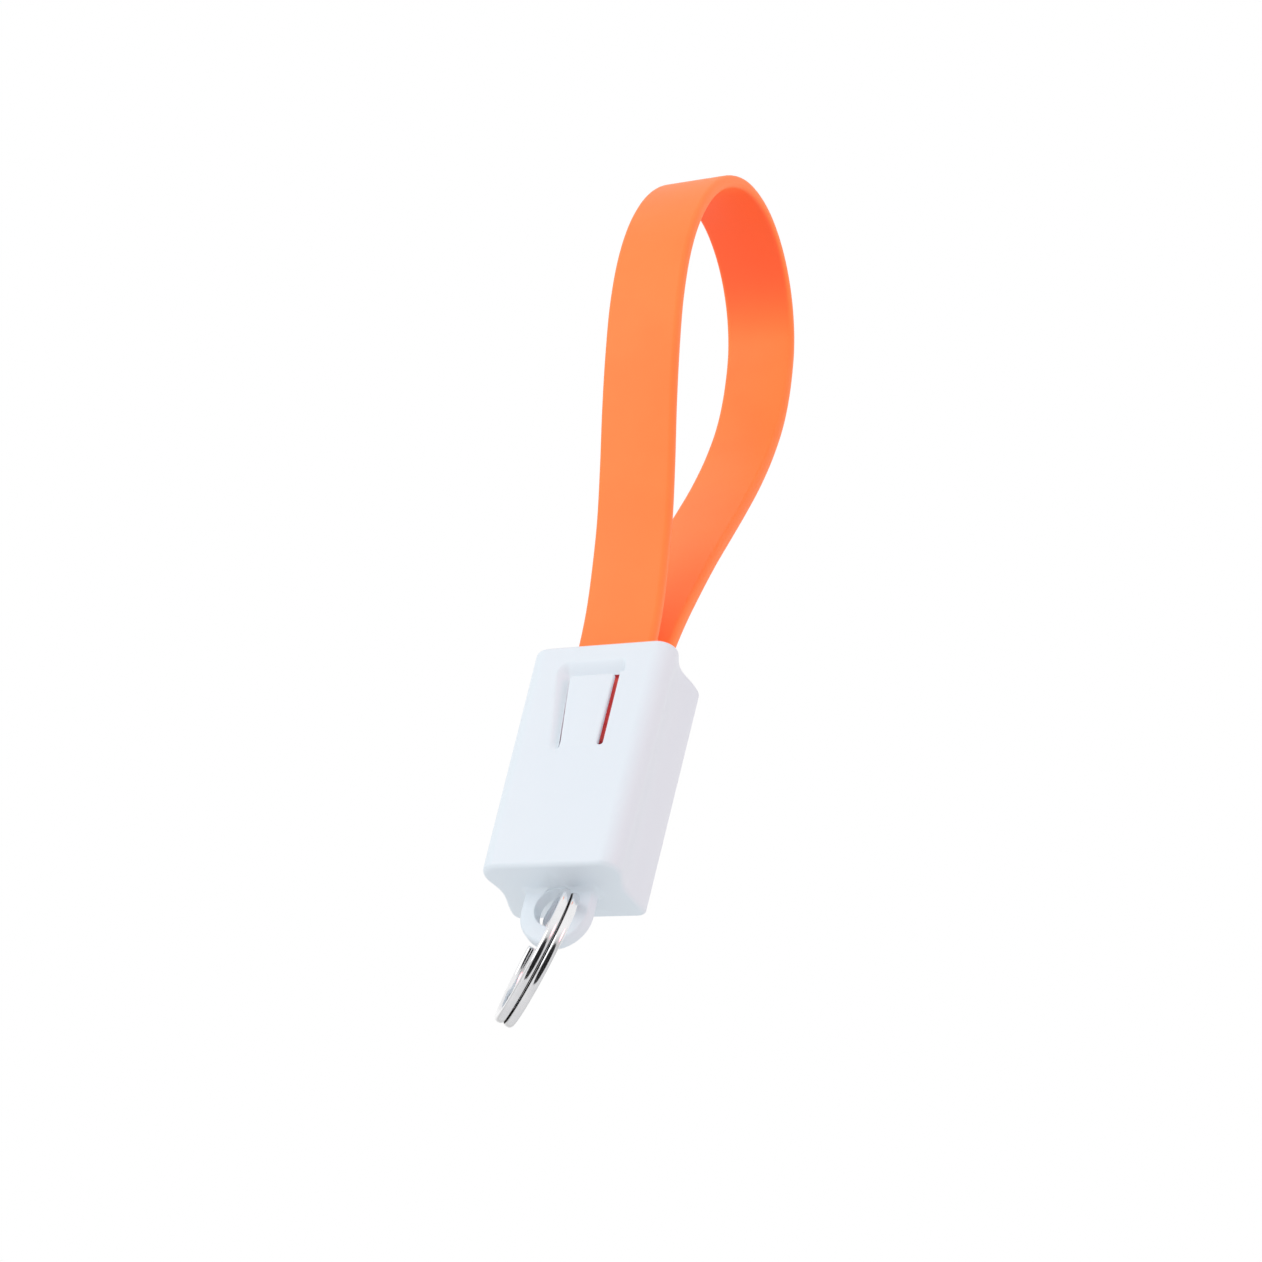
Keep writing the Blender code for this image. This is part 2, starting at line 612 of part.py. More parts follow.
def recess():
    """The sloping sides round the tongue, from outside the front face down to the slits."""
    bm = bmesh.new()
    rings = []
    for depth, share in ((-recess_depth / 2, RECESS_OVERCUT), (recess_depth, 0)):
        outline = tongue_outline(SLIT + share * RECESS_MARGIN, SLIT + share * RECESS_TOP_MARGIN, 0)
        rings.append([(x, front_y + depth, z) for x, z in outline])
    loft(bm, rings)
    return bm


def pocket():
    """Room for both mouldings, and a narrower room under them for the plugs' tubes."""
    tip_half = max(CHARGER_SHELL_WIDTH, PHONE_SHELL_WIDTH) / 2 + SEAT_GAP
    bm = bmesh.new()
    levels = ((pocket_floor_z, tip_half), (pocket_ledge_z - SEAT_GAP, tip_half),
              (pocket_ledge_z, pocket_width / 2), (RIM_RADIUS, pocket_width / 2))
    rings = []
    for z, half in levels:
        rings.append([(-half, pocket_front_y, z), (half, pocket_front_y, z),
                      (half, pocket_front_y + pocket_depth, z), (-half, pocket_front_y + pocket_depth, z)])
    loft(bm, rings)
    return bm


holder = add("holder_shell", holder_block(), white_plastic)
combine(holder, helper("lug_tab", lug_tab()), "UNION")
combine(holder, helper("pocket", pocket()), "DIFFERENCE")
combine(holder, helper("recess", recess()), "DIFFERENCE")
bm = bmesh.new()
prism_y(bm, tongue_outline(SLIT, SLIT, ROOT_GAP), front_y - recess_depth, pocket_front_y + PLUG_CLEARANCE)
combine(holder, helper("tongue_slot", bm), "DIFFERENCE")
combine(holder, helper("lug_hole", lug_hole()), "DIFFERENCE")


# Latch tongue: its origin is on its bending line, at the root and half way through its thickness
tongue_front_y = front_y + TONGUE_SINK
tongue_rear_y = pocket_front_y - TONGUE_RELIEF
tongue_pivot = Vector((0, (tongue_front_y + tongue_rear_y) / 2, tongue_root_z))
bm = bmesh.new()
prism_y(bm, [(x, z - tongue_pivot.z) for x, z in tongue_outline(0, 0, 0)],
        tongue_front_y - tongue_pivot.y, tongue_rear_y - tongue_pivot.y)
tongue = add("latch_tongue", bm, white_plastic, tongue_pivot)
nub_rear_y = pocket_front_y + PLUG_CLEARANCE - SEAT_GAP
nub = helper("latch_nub", boxes((
    (-NUB_WIDTH / 2, tongue_pivot.y, tongue_tip_z - 2 * NUB_LENGTH),
    (NUB_WIDTH / 2, nub_rear_y, tongue_tip_z - NUB_LENGTH))))
combine(tongue, nub, "UNION")


# Split ring: one flat wire wound twice, with a crossing from one coil to the other
def ring_path():
    """Points along the wire, with its side step between the coils, about the ring's own middle."""
    half_step = (RING_WIRE_WIDTH + RING_COIL_GAP) / 2
    start = RING_CROSSING / 2 + RING_END_GAP
    step = 2 * pi / RING_STEPS
    path = []
    for k in range(int((4 * pi - 2 * start) / step) + 1):
        angle = start + step * k
        share = (angle - 2 * pi + RING_CROSSING / 2) / RING_CROSSING
        share = min(max(share, 0), 1)
        side = half_step * (2 * share * share * (3 - 2 * share) - 1)
        path.append((angle, side))
    return path


def split_ring():
    bm = bmesh.new()
    section = rounded_outline(RING_WIRE_WIDTH, RING_WIRE_DEPTH, RING_WIRE_WIDTH / 3, 1)
    rings = []
    for angle, side in ring_path():
        outward = Vector((0, sin(angle + RING_CROSSING_AT), -cos(angle + RING_CROSSING_AT)))
        middle = Vector((side, 0, -ring_mid_radius)) + outward * ring_mid_radius
        rings.append([middle + Vector((u, 0, 0)) + outward * w for u, w in section])
    loft(bm, rings)
    least = min((a - b).length for i, first in enumerate(rings) for a in first
                for second in rings[i + RING_STEPS // 2:] for b in second)
    print(f"split ring's least gap to itself: {least / MM:.2f} mm")
    return bm


ring = add("split_ring", split_ring(), bright_nickel, ring_pivot)
ring.rotation_euler = Euler((RING_PITCH, RING_LEAN, RING_YAW), "XYZ")
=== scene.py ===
from math import cos, pi, radians, sin, sqrt

import bmesh
import bpy
from mathutils import Euler, Matrix, Vector


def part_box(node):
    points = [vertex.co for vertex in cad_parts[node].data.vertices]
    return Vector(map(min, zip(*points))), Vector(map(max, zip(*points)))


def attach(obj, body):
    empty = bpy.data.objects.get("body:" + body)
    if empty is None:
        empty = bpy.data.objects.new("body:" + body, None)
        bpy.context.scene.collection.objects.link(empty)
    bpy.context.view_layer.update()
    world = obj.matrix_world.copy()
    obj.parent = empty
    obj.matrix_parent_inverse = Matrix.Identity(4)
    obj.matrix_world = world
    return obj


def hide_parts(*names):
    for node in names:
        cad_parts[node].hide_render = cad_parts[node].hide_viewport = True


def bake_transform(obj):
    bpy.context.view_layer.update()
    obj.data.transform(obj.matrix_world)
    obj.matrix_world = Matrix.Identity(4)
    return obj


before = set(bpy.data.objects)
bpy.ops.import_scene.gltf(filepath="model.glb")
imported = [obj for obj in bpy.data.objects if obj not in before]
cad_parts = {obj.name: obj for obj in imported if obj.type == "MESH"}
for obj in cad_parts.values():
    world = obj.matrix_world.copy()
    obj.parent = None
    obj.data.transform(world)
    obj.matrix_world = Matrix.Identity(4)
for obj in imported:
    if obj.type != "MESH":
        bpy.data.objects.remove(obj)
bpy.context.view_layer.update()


# The photograph's view: the camera stands below the part's front right and looks up at it, so the holder
# shows its front, its right side and its foot, and the loop of cable leans away above it.
SENSOR_MM = 36.0
LENS_MM = 66.084
CLIP_START = 0.005
CAMERA_PLACE = (0.110667, -0.20402, -0.245355)
image_right = Vector((0.91855, 0.345054, 0.19288))
image_down = Vector((-0.070716, 0.62349, -0.778627))
image_forward = Vector((-0.388927, 0.701569, 0.597107))

camera_data = bpy.data.cameras.new("camera")
camera_data.sensor_width = SENSOR_MM
camera_data.lens = LENS_MM
camera_data.clip_start = CLIP_START
camera = bpy.data.objects.new("camera", camera_data)
bpy.context.scene.collection.objects.link(camera)
camera_axes = Matrix((image_right, -image_down, -image_forward)).transposed()
camera.matrix_world = Matrix.Translation(CAMERA_PLACE) @ camera_axes.to_4x4()
bpy.context.scene.camera = camera
bpy.context.scene.view_settings.view_transform = "Standard"


# The studio: a pale floor far under the hanging part, a white surround, a broad soft lamp at the front left
# and a faint rosy one at the right, kept narrow so that the floor stays neutral. A black card round the lens
# and a greyer band near the horizon show only in bright metal, which looks like white paint without them.
FLOOR_Z = -0.42
FLOOR_HALF = 3.0
SURROUND_LIGHT = 0.78
HORIZON_GREY = 0.35
HORIZON_TOP = 0.5
CARD_RADIUS = 0.18
FLOOR_SHADES = ((0.94, 0.95, 0.96, 1), (0.97, 0.97, 0.97, 1))
CARD_SHADES = ((0.004, 0.004, 0.005, 1), (0.012, 0.012, 0.013, 1))
LAMP_AIM = Vector((0.0, -0.005, -0.08))


class Shade:
    """One socket of a node tree, so that sums on what it carries are written as sums."""

    def __init__(self, tree, socket=None):
        self.tree = tree
        self.socket = socket

    def node(self, kind, settings=None, sockets=None, output=0):
        made = self.tree.nodes.new("ShaderNode" + kind)
        for name, value in (settings or {}).items():
            setattr(made, name, value)
        for name, value in (sockets or {}).items():
            if isinstance(value, Shade):
                self.tree.links.new(value.socket, made.inputs[name])
            else:
                made.inputs[name].default_value = value
        return Shade(self.tree, made.outputs[output])

    def out(self, name):
        return Shade(self.tree, self.socket.node.outputs[name])

    def to(self, socket):
        self.tree.links.new(self.socket, socket)

    def math(self, operation, a, b=0.0):
        return self.node("Math", {"operation": operation}, {0: a, 1: b})

    def __add__(self, other):
        return self.math("ADD", self, other)

    __radd__ = __add__

    def __sub__(self, other):
        return self.math("SUBTRACT", self, other)

    def __rsub__(self, other):
        return self.math("SUBTRACT", other, self)

    def __mul__(self, other):
        return self.math("MULTIPLY", self, other)

    __rmul__ = __mul__

    def step(self, low, high):
        """0 below low and 1 above high, with a smooth rise between."""
        settings = {"interpolation_type": "SMOOTHSTEP"}
        return self.node("MapRange", settings, {"Value": self, "From Min": low, "From Max": high})

    def blend(self, first, second):
        """The first colour where this is 0 and the second where it is 1."""
        # A Mix node's sockets for colours are its inputs 6 and 7 and its output 2.
        return self.node("Mix", {"data_type": "RGBA"}, {0: self, 6: first, 7: second}, 2)


surround = bpy.data.worlds.new("surround")
surround.use_nodes = True
bpy.context.scene.world = surround
sky = Shade(surround.node_tree)
rays = sky.node("LightPath")
mirrored = rays.out("Is Glossy Ray")
seen = sky.math("MINIMUM", rays.out("Is Camera Ray") + mirrored + rays.out("Is Transmission Ray"), 1.0)
climb = sky.node("SeparateXYZ", sockets={0: sky.node("TexCoord").out("Generated")}).out("Z")
grey = climb.step(HORIZON_TOP, 0.0) * HORIZON_GREY
brightness = seen + (1 - seen) * SURROUND_LIGHT - mirrored * grey
brightness.to(surround.node_tree.nodes["Background"].inputs["Strength"])
surround.node_tree.nodes["Background"].inputs["Color"].default_value = (1, 1, 1, 1)


def lamp(name, direction, distance, size, watts, colour, spread):
    """A round lamp that stands off in a direction and faces the part, its beam spread in degrees."""
    data = bpy.data.lights.new(name, "AREA")
    data.shape = "DISK"
    data.size = size
    data.energy = watts
    data.color = colour
    data.spread = radians(spread)
    made = bpy.data.objects.new(name, data)
    made.location = LAMP_AIM + Vector(direction).normalized() * distance
    made.rotation_euler = (LAMP_AIM - made.location).to_track_quat("-Z", "Y").to_euler()
    bpy.context.scene.collection.objects.link(made)


lamp("front_lamp", direction=(-0.6, -1.0, 0.18), distance=0.7, size=0.45, watts=1.0,
     colour=(0.97, 0.985, 1.0), spread=180)
lamp("side_lamp", direction=(1.0, -0.3, 0.2), distance=0.8, size=0.3, watts=0.062,
     colour=(1.0, 0.22, 0.28), spread=50)


def material(name):
    """A new material, its shader, and a place to start its nodes from."""
    made = bpy.data.materials.new(name)
    made.use_nodes = True
    return made, made.node_tree.nodes["Principled BSDF"], Shade(made.node_tree)


floor_paint, floor_shader, floor_nodes = material("floor_paint")
floor_cloud = floor_nodes.node("TexNoise", sockets={"Scale": 3.0, "Detail": 2.0})
floor_cloud.blend(*FLOOR_SHADES).to(floor_shader.inputs["Base Color"])
floor_shader.inputs["Roughness"].default_value = 0.8
bm = bmesh.new()
corners = ((-1, -1), (1, -1), (1, 1), (-1, 1))
bm.faces.new([bm.verts.new((x * FLOOR_HALF, y * FLOOR_HALF, FLOOR_Z)) for x, y in corners])
floor_mesh = bpy.data.meshes.new("floor")
bm.to_mesh(floor_mesh)
bm.free()
floor_mesh.materials.append(floor_paint)
floor = bpy.data.objects.new("floor", floor_mesh)
bpy.context.scene.collection.objects.link(floor)

card_paint, card_shader, card_nodes = material("card_paint")
card_cloud = card_nodes.node("TexNoise", sockets={"Scale": 40.0, "Detail": 2.0})
card_cloud.blend(*CARD_SHADES).to(card_shader.inputs["Base Color"])
card_shader.inputs["Roughness"].default_value = 0.9
bm = bmesh.new()
bmesh.ops.create_circle(bm, cap_ends=True, radius=CARD_RADIUS, segments=64)
card_mesh = bpy.data.meshes.new("lens_card")
bm.to_mesh(card_mesh)
bm.free()
card_mesh.materials.append(card_paint)
card = bpy.data.objects.new("lens_card", card_mesh)
card.matrix_world = camera.matrix_world
card.visible_camera = False
card.visible_diffuse = False
card.visible_transmission = False
card.visible_volume_scatter = False
card.visible_shadow = False
bpy.context.scene.collection.objects.link(card)


# The cable: a flat strip of soft orange plastic, extruded in one run over four wires. It leaves the front
# plug upwards, makes one teardrop loop and comes back down into the rear plug, so its faces stay smooth and
# only faint lines along it and a fine matt grain show how it was made.
# Sizes from here on are in millimetres, about the middle of the holder's top.
MM = 0.001
CABLE_WIDTH = 10.0
CABLE_THICKNESS = 1.8
CABLE_EDGE = 0.72
CHANNEL_RADIUS = 0.6
CHANNEL_STEPS = 10
WIRE_PLACES = (-3.5, -1.0, 1.0, 3.5)
CHARGER_Y = -1.5
PHONE_Y = 2.675
JACKET_END_Z = -4.5
ROUTE = [
    (-1.6, 3.0), (-2.1, 8.0), (-3.3, 13.5), (-5.2, 20.0), (-8.0, 26.8), (-11.1, 33.6), (-13.9, 40.6),
    (-16.2, 47.8), (-17.3, 55.3), (-16.8, 62.7), (-14.6, 69.8), (-10.7, 76.0), (-5.2, 80.8), (1.6, 83.2),
    (8.3, 82.6), (14.0, 79.4), (18.0, 74.2), (19.9, 67.5), (20.3, 60.4), (19.2, 53.0), (17.2, 45.7),
    (14.7, 38.7), (12.0, 31.8), (9.3, 25.0), (6.9, 18.2), (4.9, 12.0), (3.5, 6.6), (2.8, 2.6),
]
ROUTE_POINTS = 260
STRIP_SHADES = ((1.0, 0.255, 0.056, 1), (1.0, 0.28, 0.066, 1))
STRIP_PAINTED_UNDER_SHADE = (0.92, 0.158, 0.045, 1)
STRIP_PAINTED_SHADE_TILT = (-0.4, -0.95)
STRIP_PAINTED_GLOW = (1.0, 0.01, 0.0, 1)
DRAWN_LINES = 2600
CLOUD_RANGE = (0.3, 0.7)
SHARP_EDGE = radians(32)

holder_low, holder_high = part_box("holder_shell")
holder_top = Vector((0, (holder_low[1] + holder_high[1]) / 2, holder_high[2]))


def smooth_route(points, count):
    """Read count points, evenly spaced, from a smooth curve through the given points."""
    fine = []
    cuts = 16
    last = len(points) - 1
    for i in range(last):
        before = points[max(i - 1, 0)]
        start = points[i]
        end = points[i + 1]
        after = points[min(i + 2, last)]
        for step in range(cuts):
            t = step / cuts
            pull_in = (end - before) / 2
            pull_out = (after - start) / 2
            fine.append(start * (2 * t**3 - 3 * t**2 + 1) + pull_in * (t**3 - 2 * t**2 + t)
                        + end * (3 * t**2 - 2 * t**3) + pull_out * (t**3 - t**2))
    fine.append(points[last])
    lengths = [0.0]
    for a, b in zip(fine, fine[1:]):
        lengths.append(lengths[-1] + (b - a).length)
    even = []
    at = 0
    for k in range(count):
        want = lengths[-1] * k / (count - 1)
        while at < len(fine) - 2 and lengths[at + 1] < want:
            at += 1
        share = (want - lengths[at]) / (lengths[at + 1] - lengths[at])
        even.append(fine[at].lerp(fine[at + 1], min(max(share, 0), 1)))
    return even


def rounded_outline(width, height, radius, steps):
    """Points round a rectangle with round corners, about its middle."""
    points = []
    for quarter in range(4):
        sx = 1 if quarter in (0, 3) else -1
        sy = 1 if quarter < 2 else -1
        for step in range(steps + 1):
            angle = pi / 2 * (quarter + step / steps)
            points.append((sx * (width / 2 - radius) + radius * cos(angle),
                           sy * (height / 2 - radius) + radius * sin(angle)))
    return points


def circle(radius, steps):
    """Points round a circle about its middle."""
    turns = [2 * pi * k / steps for k in range(steps)]
    return [(radius * cos(angle), radius * sin(angle)) for angle in turns]


def loft(bm, rings, ends=True, joined=False):
    """Skin rings that have the same number of points, and close the two ends or join them to each other."""
    rows = [[bm.verts.new(point) for point in ring] for ring in rings]
    count = len(rows[0])
    following = rows[1:] + rows[:1] if joined else rows[1:]
    for lower, upper in zip(rows, following):
        for i in range(count):
            j = (i + 1) % count
            bm.faces.new((lower[i], lower[j], upper[j], upper[i]))
    if ends:
        bm.faces.new(rows[0])
        bm.faces.new(rows[-1])
    return rows


def piece(name, bm, paint):
    """An object from millimetres about the holder's top, smooth but for its sharp edges."""
    bmesh.ops.recalc_face_normals(bm, faces=bm.faces)
    bmesh.ops.scale(bm, vec=(MM, MM, MM), verts=bm.verts)
    mesh = bpy.data.meshes.new(name)
    bm.to_mesh(mesh)
    bm.free()
    mesh.materials.append(paint)
    mesh.shade_smooth()
    mesh.set_sharp_from_angle(angle=SHARP_EDGE)
    made = bpy.data.objects.new(name, mesh)
    made.location = holder_top
    bpy.context.scene.collection.objects.link(made)
    return made


stations = [Vector((0, CHARGER_Y, JACKET_END_Z)), Vector((0, CHARGER_Y, 0))]
stations += [Vector((0, y, z)) for y, z in ROUTE]
stations += [Vector((0, PHONE_Y, 0)), Vector((0, PHONE_Y, JACKET_END_Z))]
route = smooth_route(stations, ROUTE_POINTS)

orange_strip, strip_shader, strip = material("orange_strip")
place = strip.node("TexCoord").out("Object")
across = strip.node("SeparateXYZ", sockets={0: place}).out("X")
drawn = {"W": across * DRAWN_LINES, "Scale": 1.0, "Detail": 3.0}
drawn_lines = strip.node("TexNoise", {"noise_dimensions": "1D"}, drawn)
grain = strip.node("TexNoise", sockets={"Vector": place, "Scale": 5200.0, "Detail": 2.0})
cloud = strip.node("TexNoise", sockets={"Vector": place, "Scale": 70.0, "Detail": 3.0})
dyed = cloud.step(*CLOUD_RANGE).blend(*STRIP_SHADES)
# Painted light: a faint red glow lifts the strip in shade, and painted shade deepens it under the loop's top.
tilt = strip.node("SeparateXYZ", sockets={0: strip.node("TexCoord").out("Normal")}).out("Z")
tilt.step(*STRIP_PAINTED_SHADE_TILT).blend(dyed, STRIP_PAINTED_UNDER_SHADE).to(strip_shader.inputs["Base Color"])
(0.4 + 0.12 * grain + 0.06 * cloud).to(strip_shader.inputs["Roughness"])
strip_shader.inputs["Specular IOR Level"].default_value = 0.3
# Painted glow: the strip gives off a faint red light of its own, which lightens it in shade.
strip_shader.inputs["Emission Color"].default_value = STRIP_PAINTED_GLOW
strip_shader.inputs["Emission Strength"].default_value = 0.2
relief = drawn_lines * 0.5 + grain
skin = strip.node("Bump", sockets={"Strength": 0.5, "Distance": 0.01 * MM, "Height": relief})
skin.to(strip_shader.inputs["Normal"])

bm = bmesh.new()
strip_loops = [rounded_outline(CABLE_WIDTH, CABLE_THICKNESS, CABLE_EDGE, steps=7)]
for middle in WIRE_PLACES:
    strip_loops.append([(middle + u, w) for u, w in circle(CHANNEL_RADIUS, CHANNEL_STEPS)])
route_frames = []
for i, point in enumerate(route):
    along = route[min(i + 1, len(route) - 1)] - route[max(i - 1, 0)]
    route_frames.append((point, Vector((0, along.z, -along.y)).normalized()))
first_edges = []
last_edges = []
for loop in strip_loops:
    rows = loft(bm, [[Vector((u, 0, 0)) + point + thick * w for u, w in loop]
                     for point, thick in route_frames], ends=False)
    for row, edges in ((rows[0], first_edges), (rows[-1], last_edges)):
        edges += [bm.edges.get((a, b)) for a, b in zip(row, row[1:] + row[:1])]
bmesh.ops.triangle_fill(bm, edges=first_edges, use_beauty=True)
bmesh.ops.triangle_fill(bm, edges=last_edges, use_beauty=True)
cable = piece("cable", bm, orange_strip)
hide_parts("cable_jacket")
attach(cable, "cable")


# The four wires: thin coloured insulation, each in its own channel of the cable. They come out of the cable's
# ends only inside the two plug mouldings, where they meet the contacts.
WIRE_COLOURS = {
    "red": (0.55, 0.015, 0.012, 1), "white": (0.8, 0.8, 0.78, 1),
    "green": (0.015, 0.3, 0.06, 1), "black": (0.012, 0.012, 0.013, 1),
}
WIRE_PALER = 1.15
WIRE_LIFT = 0.01

for colour_name, colour in WIRE_COLOURS.items():
    insulation, insulation_shader, nodes = material(colour_name + "_insulation")
    mottle = nodes.node("TexNoise", sockets={"Vector": nodes.node("TexCoord").out("Object"), "Scale": 900.0})
    pale = tuple(min(1, WIRE_PALER * channel + WIRE_LIFT) for channel in colour[:3]) + (1,)
    mottle.blend(colour, pale).to(insulation_shader.inputs["Base Color"])
    (0.35 + 0.2 * mottle).to(insulation_shader.inputs["Roughness"])
    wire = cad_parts["wire_" + colour_name]
    wire.data.materials.clear()
    wire.data.materials.append(insulation)


# The plug mouldings: a block of orange-red plastic cast round each plug's back and the cable's end, with soft
# corners and three shallow grip grooves across its broad faces. Inside are a slot that grips the cable, a bay
# for the wires and a pocket for the plug's tail. It is given a faint painted glow, as the cable is.
MOULD_WIDTH = 13.0
MOULD_CORNER = 0.8
MOULD_RIM = 0.35
MOULD_TOP_Z = -0.5
GROOVE_COUNT = 3
GROOVES_RISE = 2.2
GROOVE_DEPTH = 0.12
GROOVE_PITCH = 1.6
GROOVE_WIDTH = 0.9
GROOVE_HALF_LENGTH = 6.1
GROOVE_PROFILE = ((-0.5, 0), (-0.3, 1), (0.3, 1), (0.5, 0))
SLOT_WIDTH = 10.3
SLOT_THICKNESS = 2.1
SLOT_SPARE = 0.2
BAY_HALF_WIDTH = 4.1
BAY_HALF_DEPTH = 0.6
BAY_RISE = 3.8
TAIL_RISE = 4.1
CUT_PAST = 1.0  # how far a cutting shape runs past a face that it opens
CAST_SHADES = ((0.96, 0.15, 0.09, 1), (0.99, 0.175, 0.105, 1))
CAST_PAINTED_GLOW = (1.0, 0.07, 0.18, 1)

orange_cast, cast_shader, cast = material("orange_cast")
place = cast.node("TexCoord").out("Object")
spark = cast.node("TexNoise", sockets={"Vector": place, "Scale": 3800.0, "Detail": 3.0})
cloud = cast.node("TexNoise", sockets={"Vector": place, "Scale": 110.0, "Detail": 2.0})
cloud.step(*CLOUD_RANGE).blend(*CAST_SHADES).to(cast_shader.inputs["Base Color"])
(0.45 + 0.2 * spark).to(cast_shader.inputs["Roughness"])
# Painted glow: the moulding gives off a faint rosy light of its own, which lightens it in shade.
cast_shader.inputs["Emission Color"].default_value = CAST_PAINTED_GLOW
cast_shader.inputs["Emission Strength"].default_value = 0.1
texture = cast.node("Bump", sockets={"Strength": 0.6, "Distance": 0.02 * MM, "Height": spark})
texture.to(cast_shader.inputs["Normal"])


def in_holder(corner):
    """A corner in metres in the part's frame, as millimetres about the holder's top."""
    return [(corner[i] - holder_top[i]) / MM for i in range(3)]


def block(low, high, edge=0):
    """A box between two corners, with its edges rounded by so much."""
    bm = bmesh.new()
    made = bmesh.ops.create_cube(bm, size=1)
    for vert in made["verts"]:
        vert.co = Vector([low[i] + (vert.co[i] + 0.5) * (high[i] - low[i]) for i in range(3)])
    if edge > 0:
        bmesh.ops.bevel(bm, geom=bm.edges[:], offset=edge, segments=3, profile=0.5, affect="EDGES")
    return bm


def carve(body, tool_mesh, operation="DIFFERENCE"):
    """Cut a shape out of a piece, or join it on, and keep only the result."""
    tool = piece("tool", tool_mesh, None)
    boolean = body.modifiers.new("carve", "BOOLEAN")
    boolean.operation = operation
    boolean.solver = "EXACT"
    boolean.object = tool
    bpy.context.view_layer.update()
    done = bpy.data.meshes.new_from_object(body.evaluated_get(bpy.context.evaluated_depsgraph_get()))
    body.modifiers.clear()
    old = body.data
    name = old.name
    body.data = done
    bpy.data.meshes.remove(old)
    done.name = name
    bpy.data.objects.remove(tool)
    for face in done.polygons:
        face.material_index = 0
    while len(done.materials) > 1:
        done.materials.pop()
    done.shade_smooth()
    done.set_sharp_from_angle(angle=SHARP_EDGE)


def arc(steps, turn=pi / 2):
    """Angles from nothing to the whole turn, in even steps."""
    return [turn * step / steps for step in range(steps + 1)]


def quarter_rounds(low, high, radius, steps):
    """Heights from low to high, with how far the outline draws in at each for round rims at both ends."""
    levels = []
    for angle in arc(steps):
        levels.append((low + radius * (1 - cos(angle)), radius * (1 - sin(angle))))
    return levels + [(low + high - z, inset) for z, inset in reversed(levels)]


def plug_moulding(name, node, middle_y, thickness, tail_low, tail_high):
    """The moulding round one plug, its tail pocket given by two corners about the plug's middle."""
    end_z = in_holder(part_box(node)[0])[2]
    levels = [(z, inset, 0) for z, inset in quarter_rounds(end_z, MOULD_TOP_Z, MOULD_RIM, steps=5)]
    for groove in range(GROOVE_COUNT):
        groove_z = end_z + GROOVES_RISE + groove * GROOVE_PITCH
        for offset, depth in GROOVE_PROFILE:
            levels.append((groove_z + offset * GROOVE_WIDTH, 0, depth * GROOVE_DEPTH))
    rings = []
    for z, inset, sunk in sorted(levels):
        corner = MOULD_CORNER - inset / 2
        ring = []
        for x, y in rounded_outline(MOULD_WIDTH - 2 * inset, thickness - 2 * inset, corner, steps=5):
            draw_in = sunk if abs(x) < GROOVE_HALF_LENGTH else 0
            ring.append((x, middle_y + y - (draw_in if y > 0 else -draw_in), z))
        rings.append(ring)
    bm = bmesh.new()
    loft(bm, rings)
    made = piece(name, bm, orange_cast)
    carve(made, block((-SLOT_WIDTH / 2, middle_y - SLOT_THICKNESS / 2, JACKET_END_Z - SLOT_SPARE),
                      (SLOT_WIDTH / 2, middle_y + SLOT_THICKNESS / 2, CUT_PAST)))
    carve(made, block((-BAY_HALF_WIDTH, middle_y - BAY_HALF_DEPTH, end_z + BAY_RISE),
                      (BAY_HALF_WIDTH, middle_y + BAY_HALF_DEPTH, JACKET_END_Z)))
    carve(made, block((tail_low[0], middle_y + tail_low[1], end_z - CUT_PAST),
                      (tail_high[0], middle_y + tail_high[1], end_z + TAIL_RISE)))
    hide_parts(node)
    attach(made, "cable")


plug_moulding("charger_moulding", "charger_plug_overmould", CHARGER_Y, thickness=4.95,
              tail_low=(-5.45, -0.6), tail_high=(5.45, 1.77))
plug_moulding("phone_moulding", "phone_plug_overmould", PHONE_Y, thickness=2.9,
              tail_low=(-4.05, -0.6), tail_high=(4.05, 0.75))


# The wide plug's tube: thin plated steel folded to a box, with two latch windows in each broad side and the
# fold's seam down the middle of its back. Its tail is held in the moulding.
TUBE_WALL = 0.4
TUBE_CORNER = 0.7
TUBE_LEAST_CORNER = 0.15
TUBE_LIP = 0.12
TUBE_WINDOW = 2.4
TUBE_WINDOW_PITCH = 5.6
TUBE_WINDOW_RISE = 5.2
TUBE_WINDOW_EDGE = 0.15
SEAM_WIDTH = 0.08
SEAM_DEPTH = TUBE_WALL / 3
STEEL_SHADES = ((0.7, 0.71, 0.73, 1), (0.78, 0.79, 0.8, 1))
SMUDGE_RANGE = (0.35, 0.7)
BRUSH_STRETCH = 0.04

plated_steel, steel_shader, steel = material("plated_steel")
place = steel.node("TexCoord").out("Object")
axes = steel.node("SeparateXYZ", sockets={0: place})
drawn_out = {0: axes.out("X"), 1: axes.out("Y"), 2: axes.out("Z") * BRUSH_STRETCH}
stretched = steel.node("CombineXYZ", sockets=drawn_out)
brushed = steel.node("TexNoise", sockets={"Vector": stretched, "Scale": 6000.0, "Detail": 3.0})
smudge = steel.node("TexNoise", sockets={"Vector": place, "Scale": 260.0, "Detail": 3.0})
smudge.step(*SMUDGE_RANGE).blend(*STEEL_SHADES).to(steel_shader.inputs["Base Color"])
(0.16 + 0.16 * brushed + 0.1 * smudge).to(steel_shader.inputs["Roughness"])
steel_shader.inputs["Metallic"].default_value = 1.0
hairs = steel.node("Bump", sockets={"Strength": 0.25, "Distance": 0.004 * MM, "Height": brushed})
hairs.to(steel_shader.inputs["Normal"])


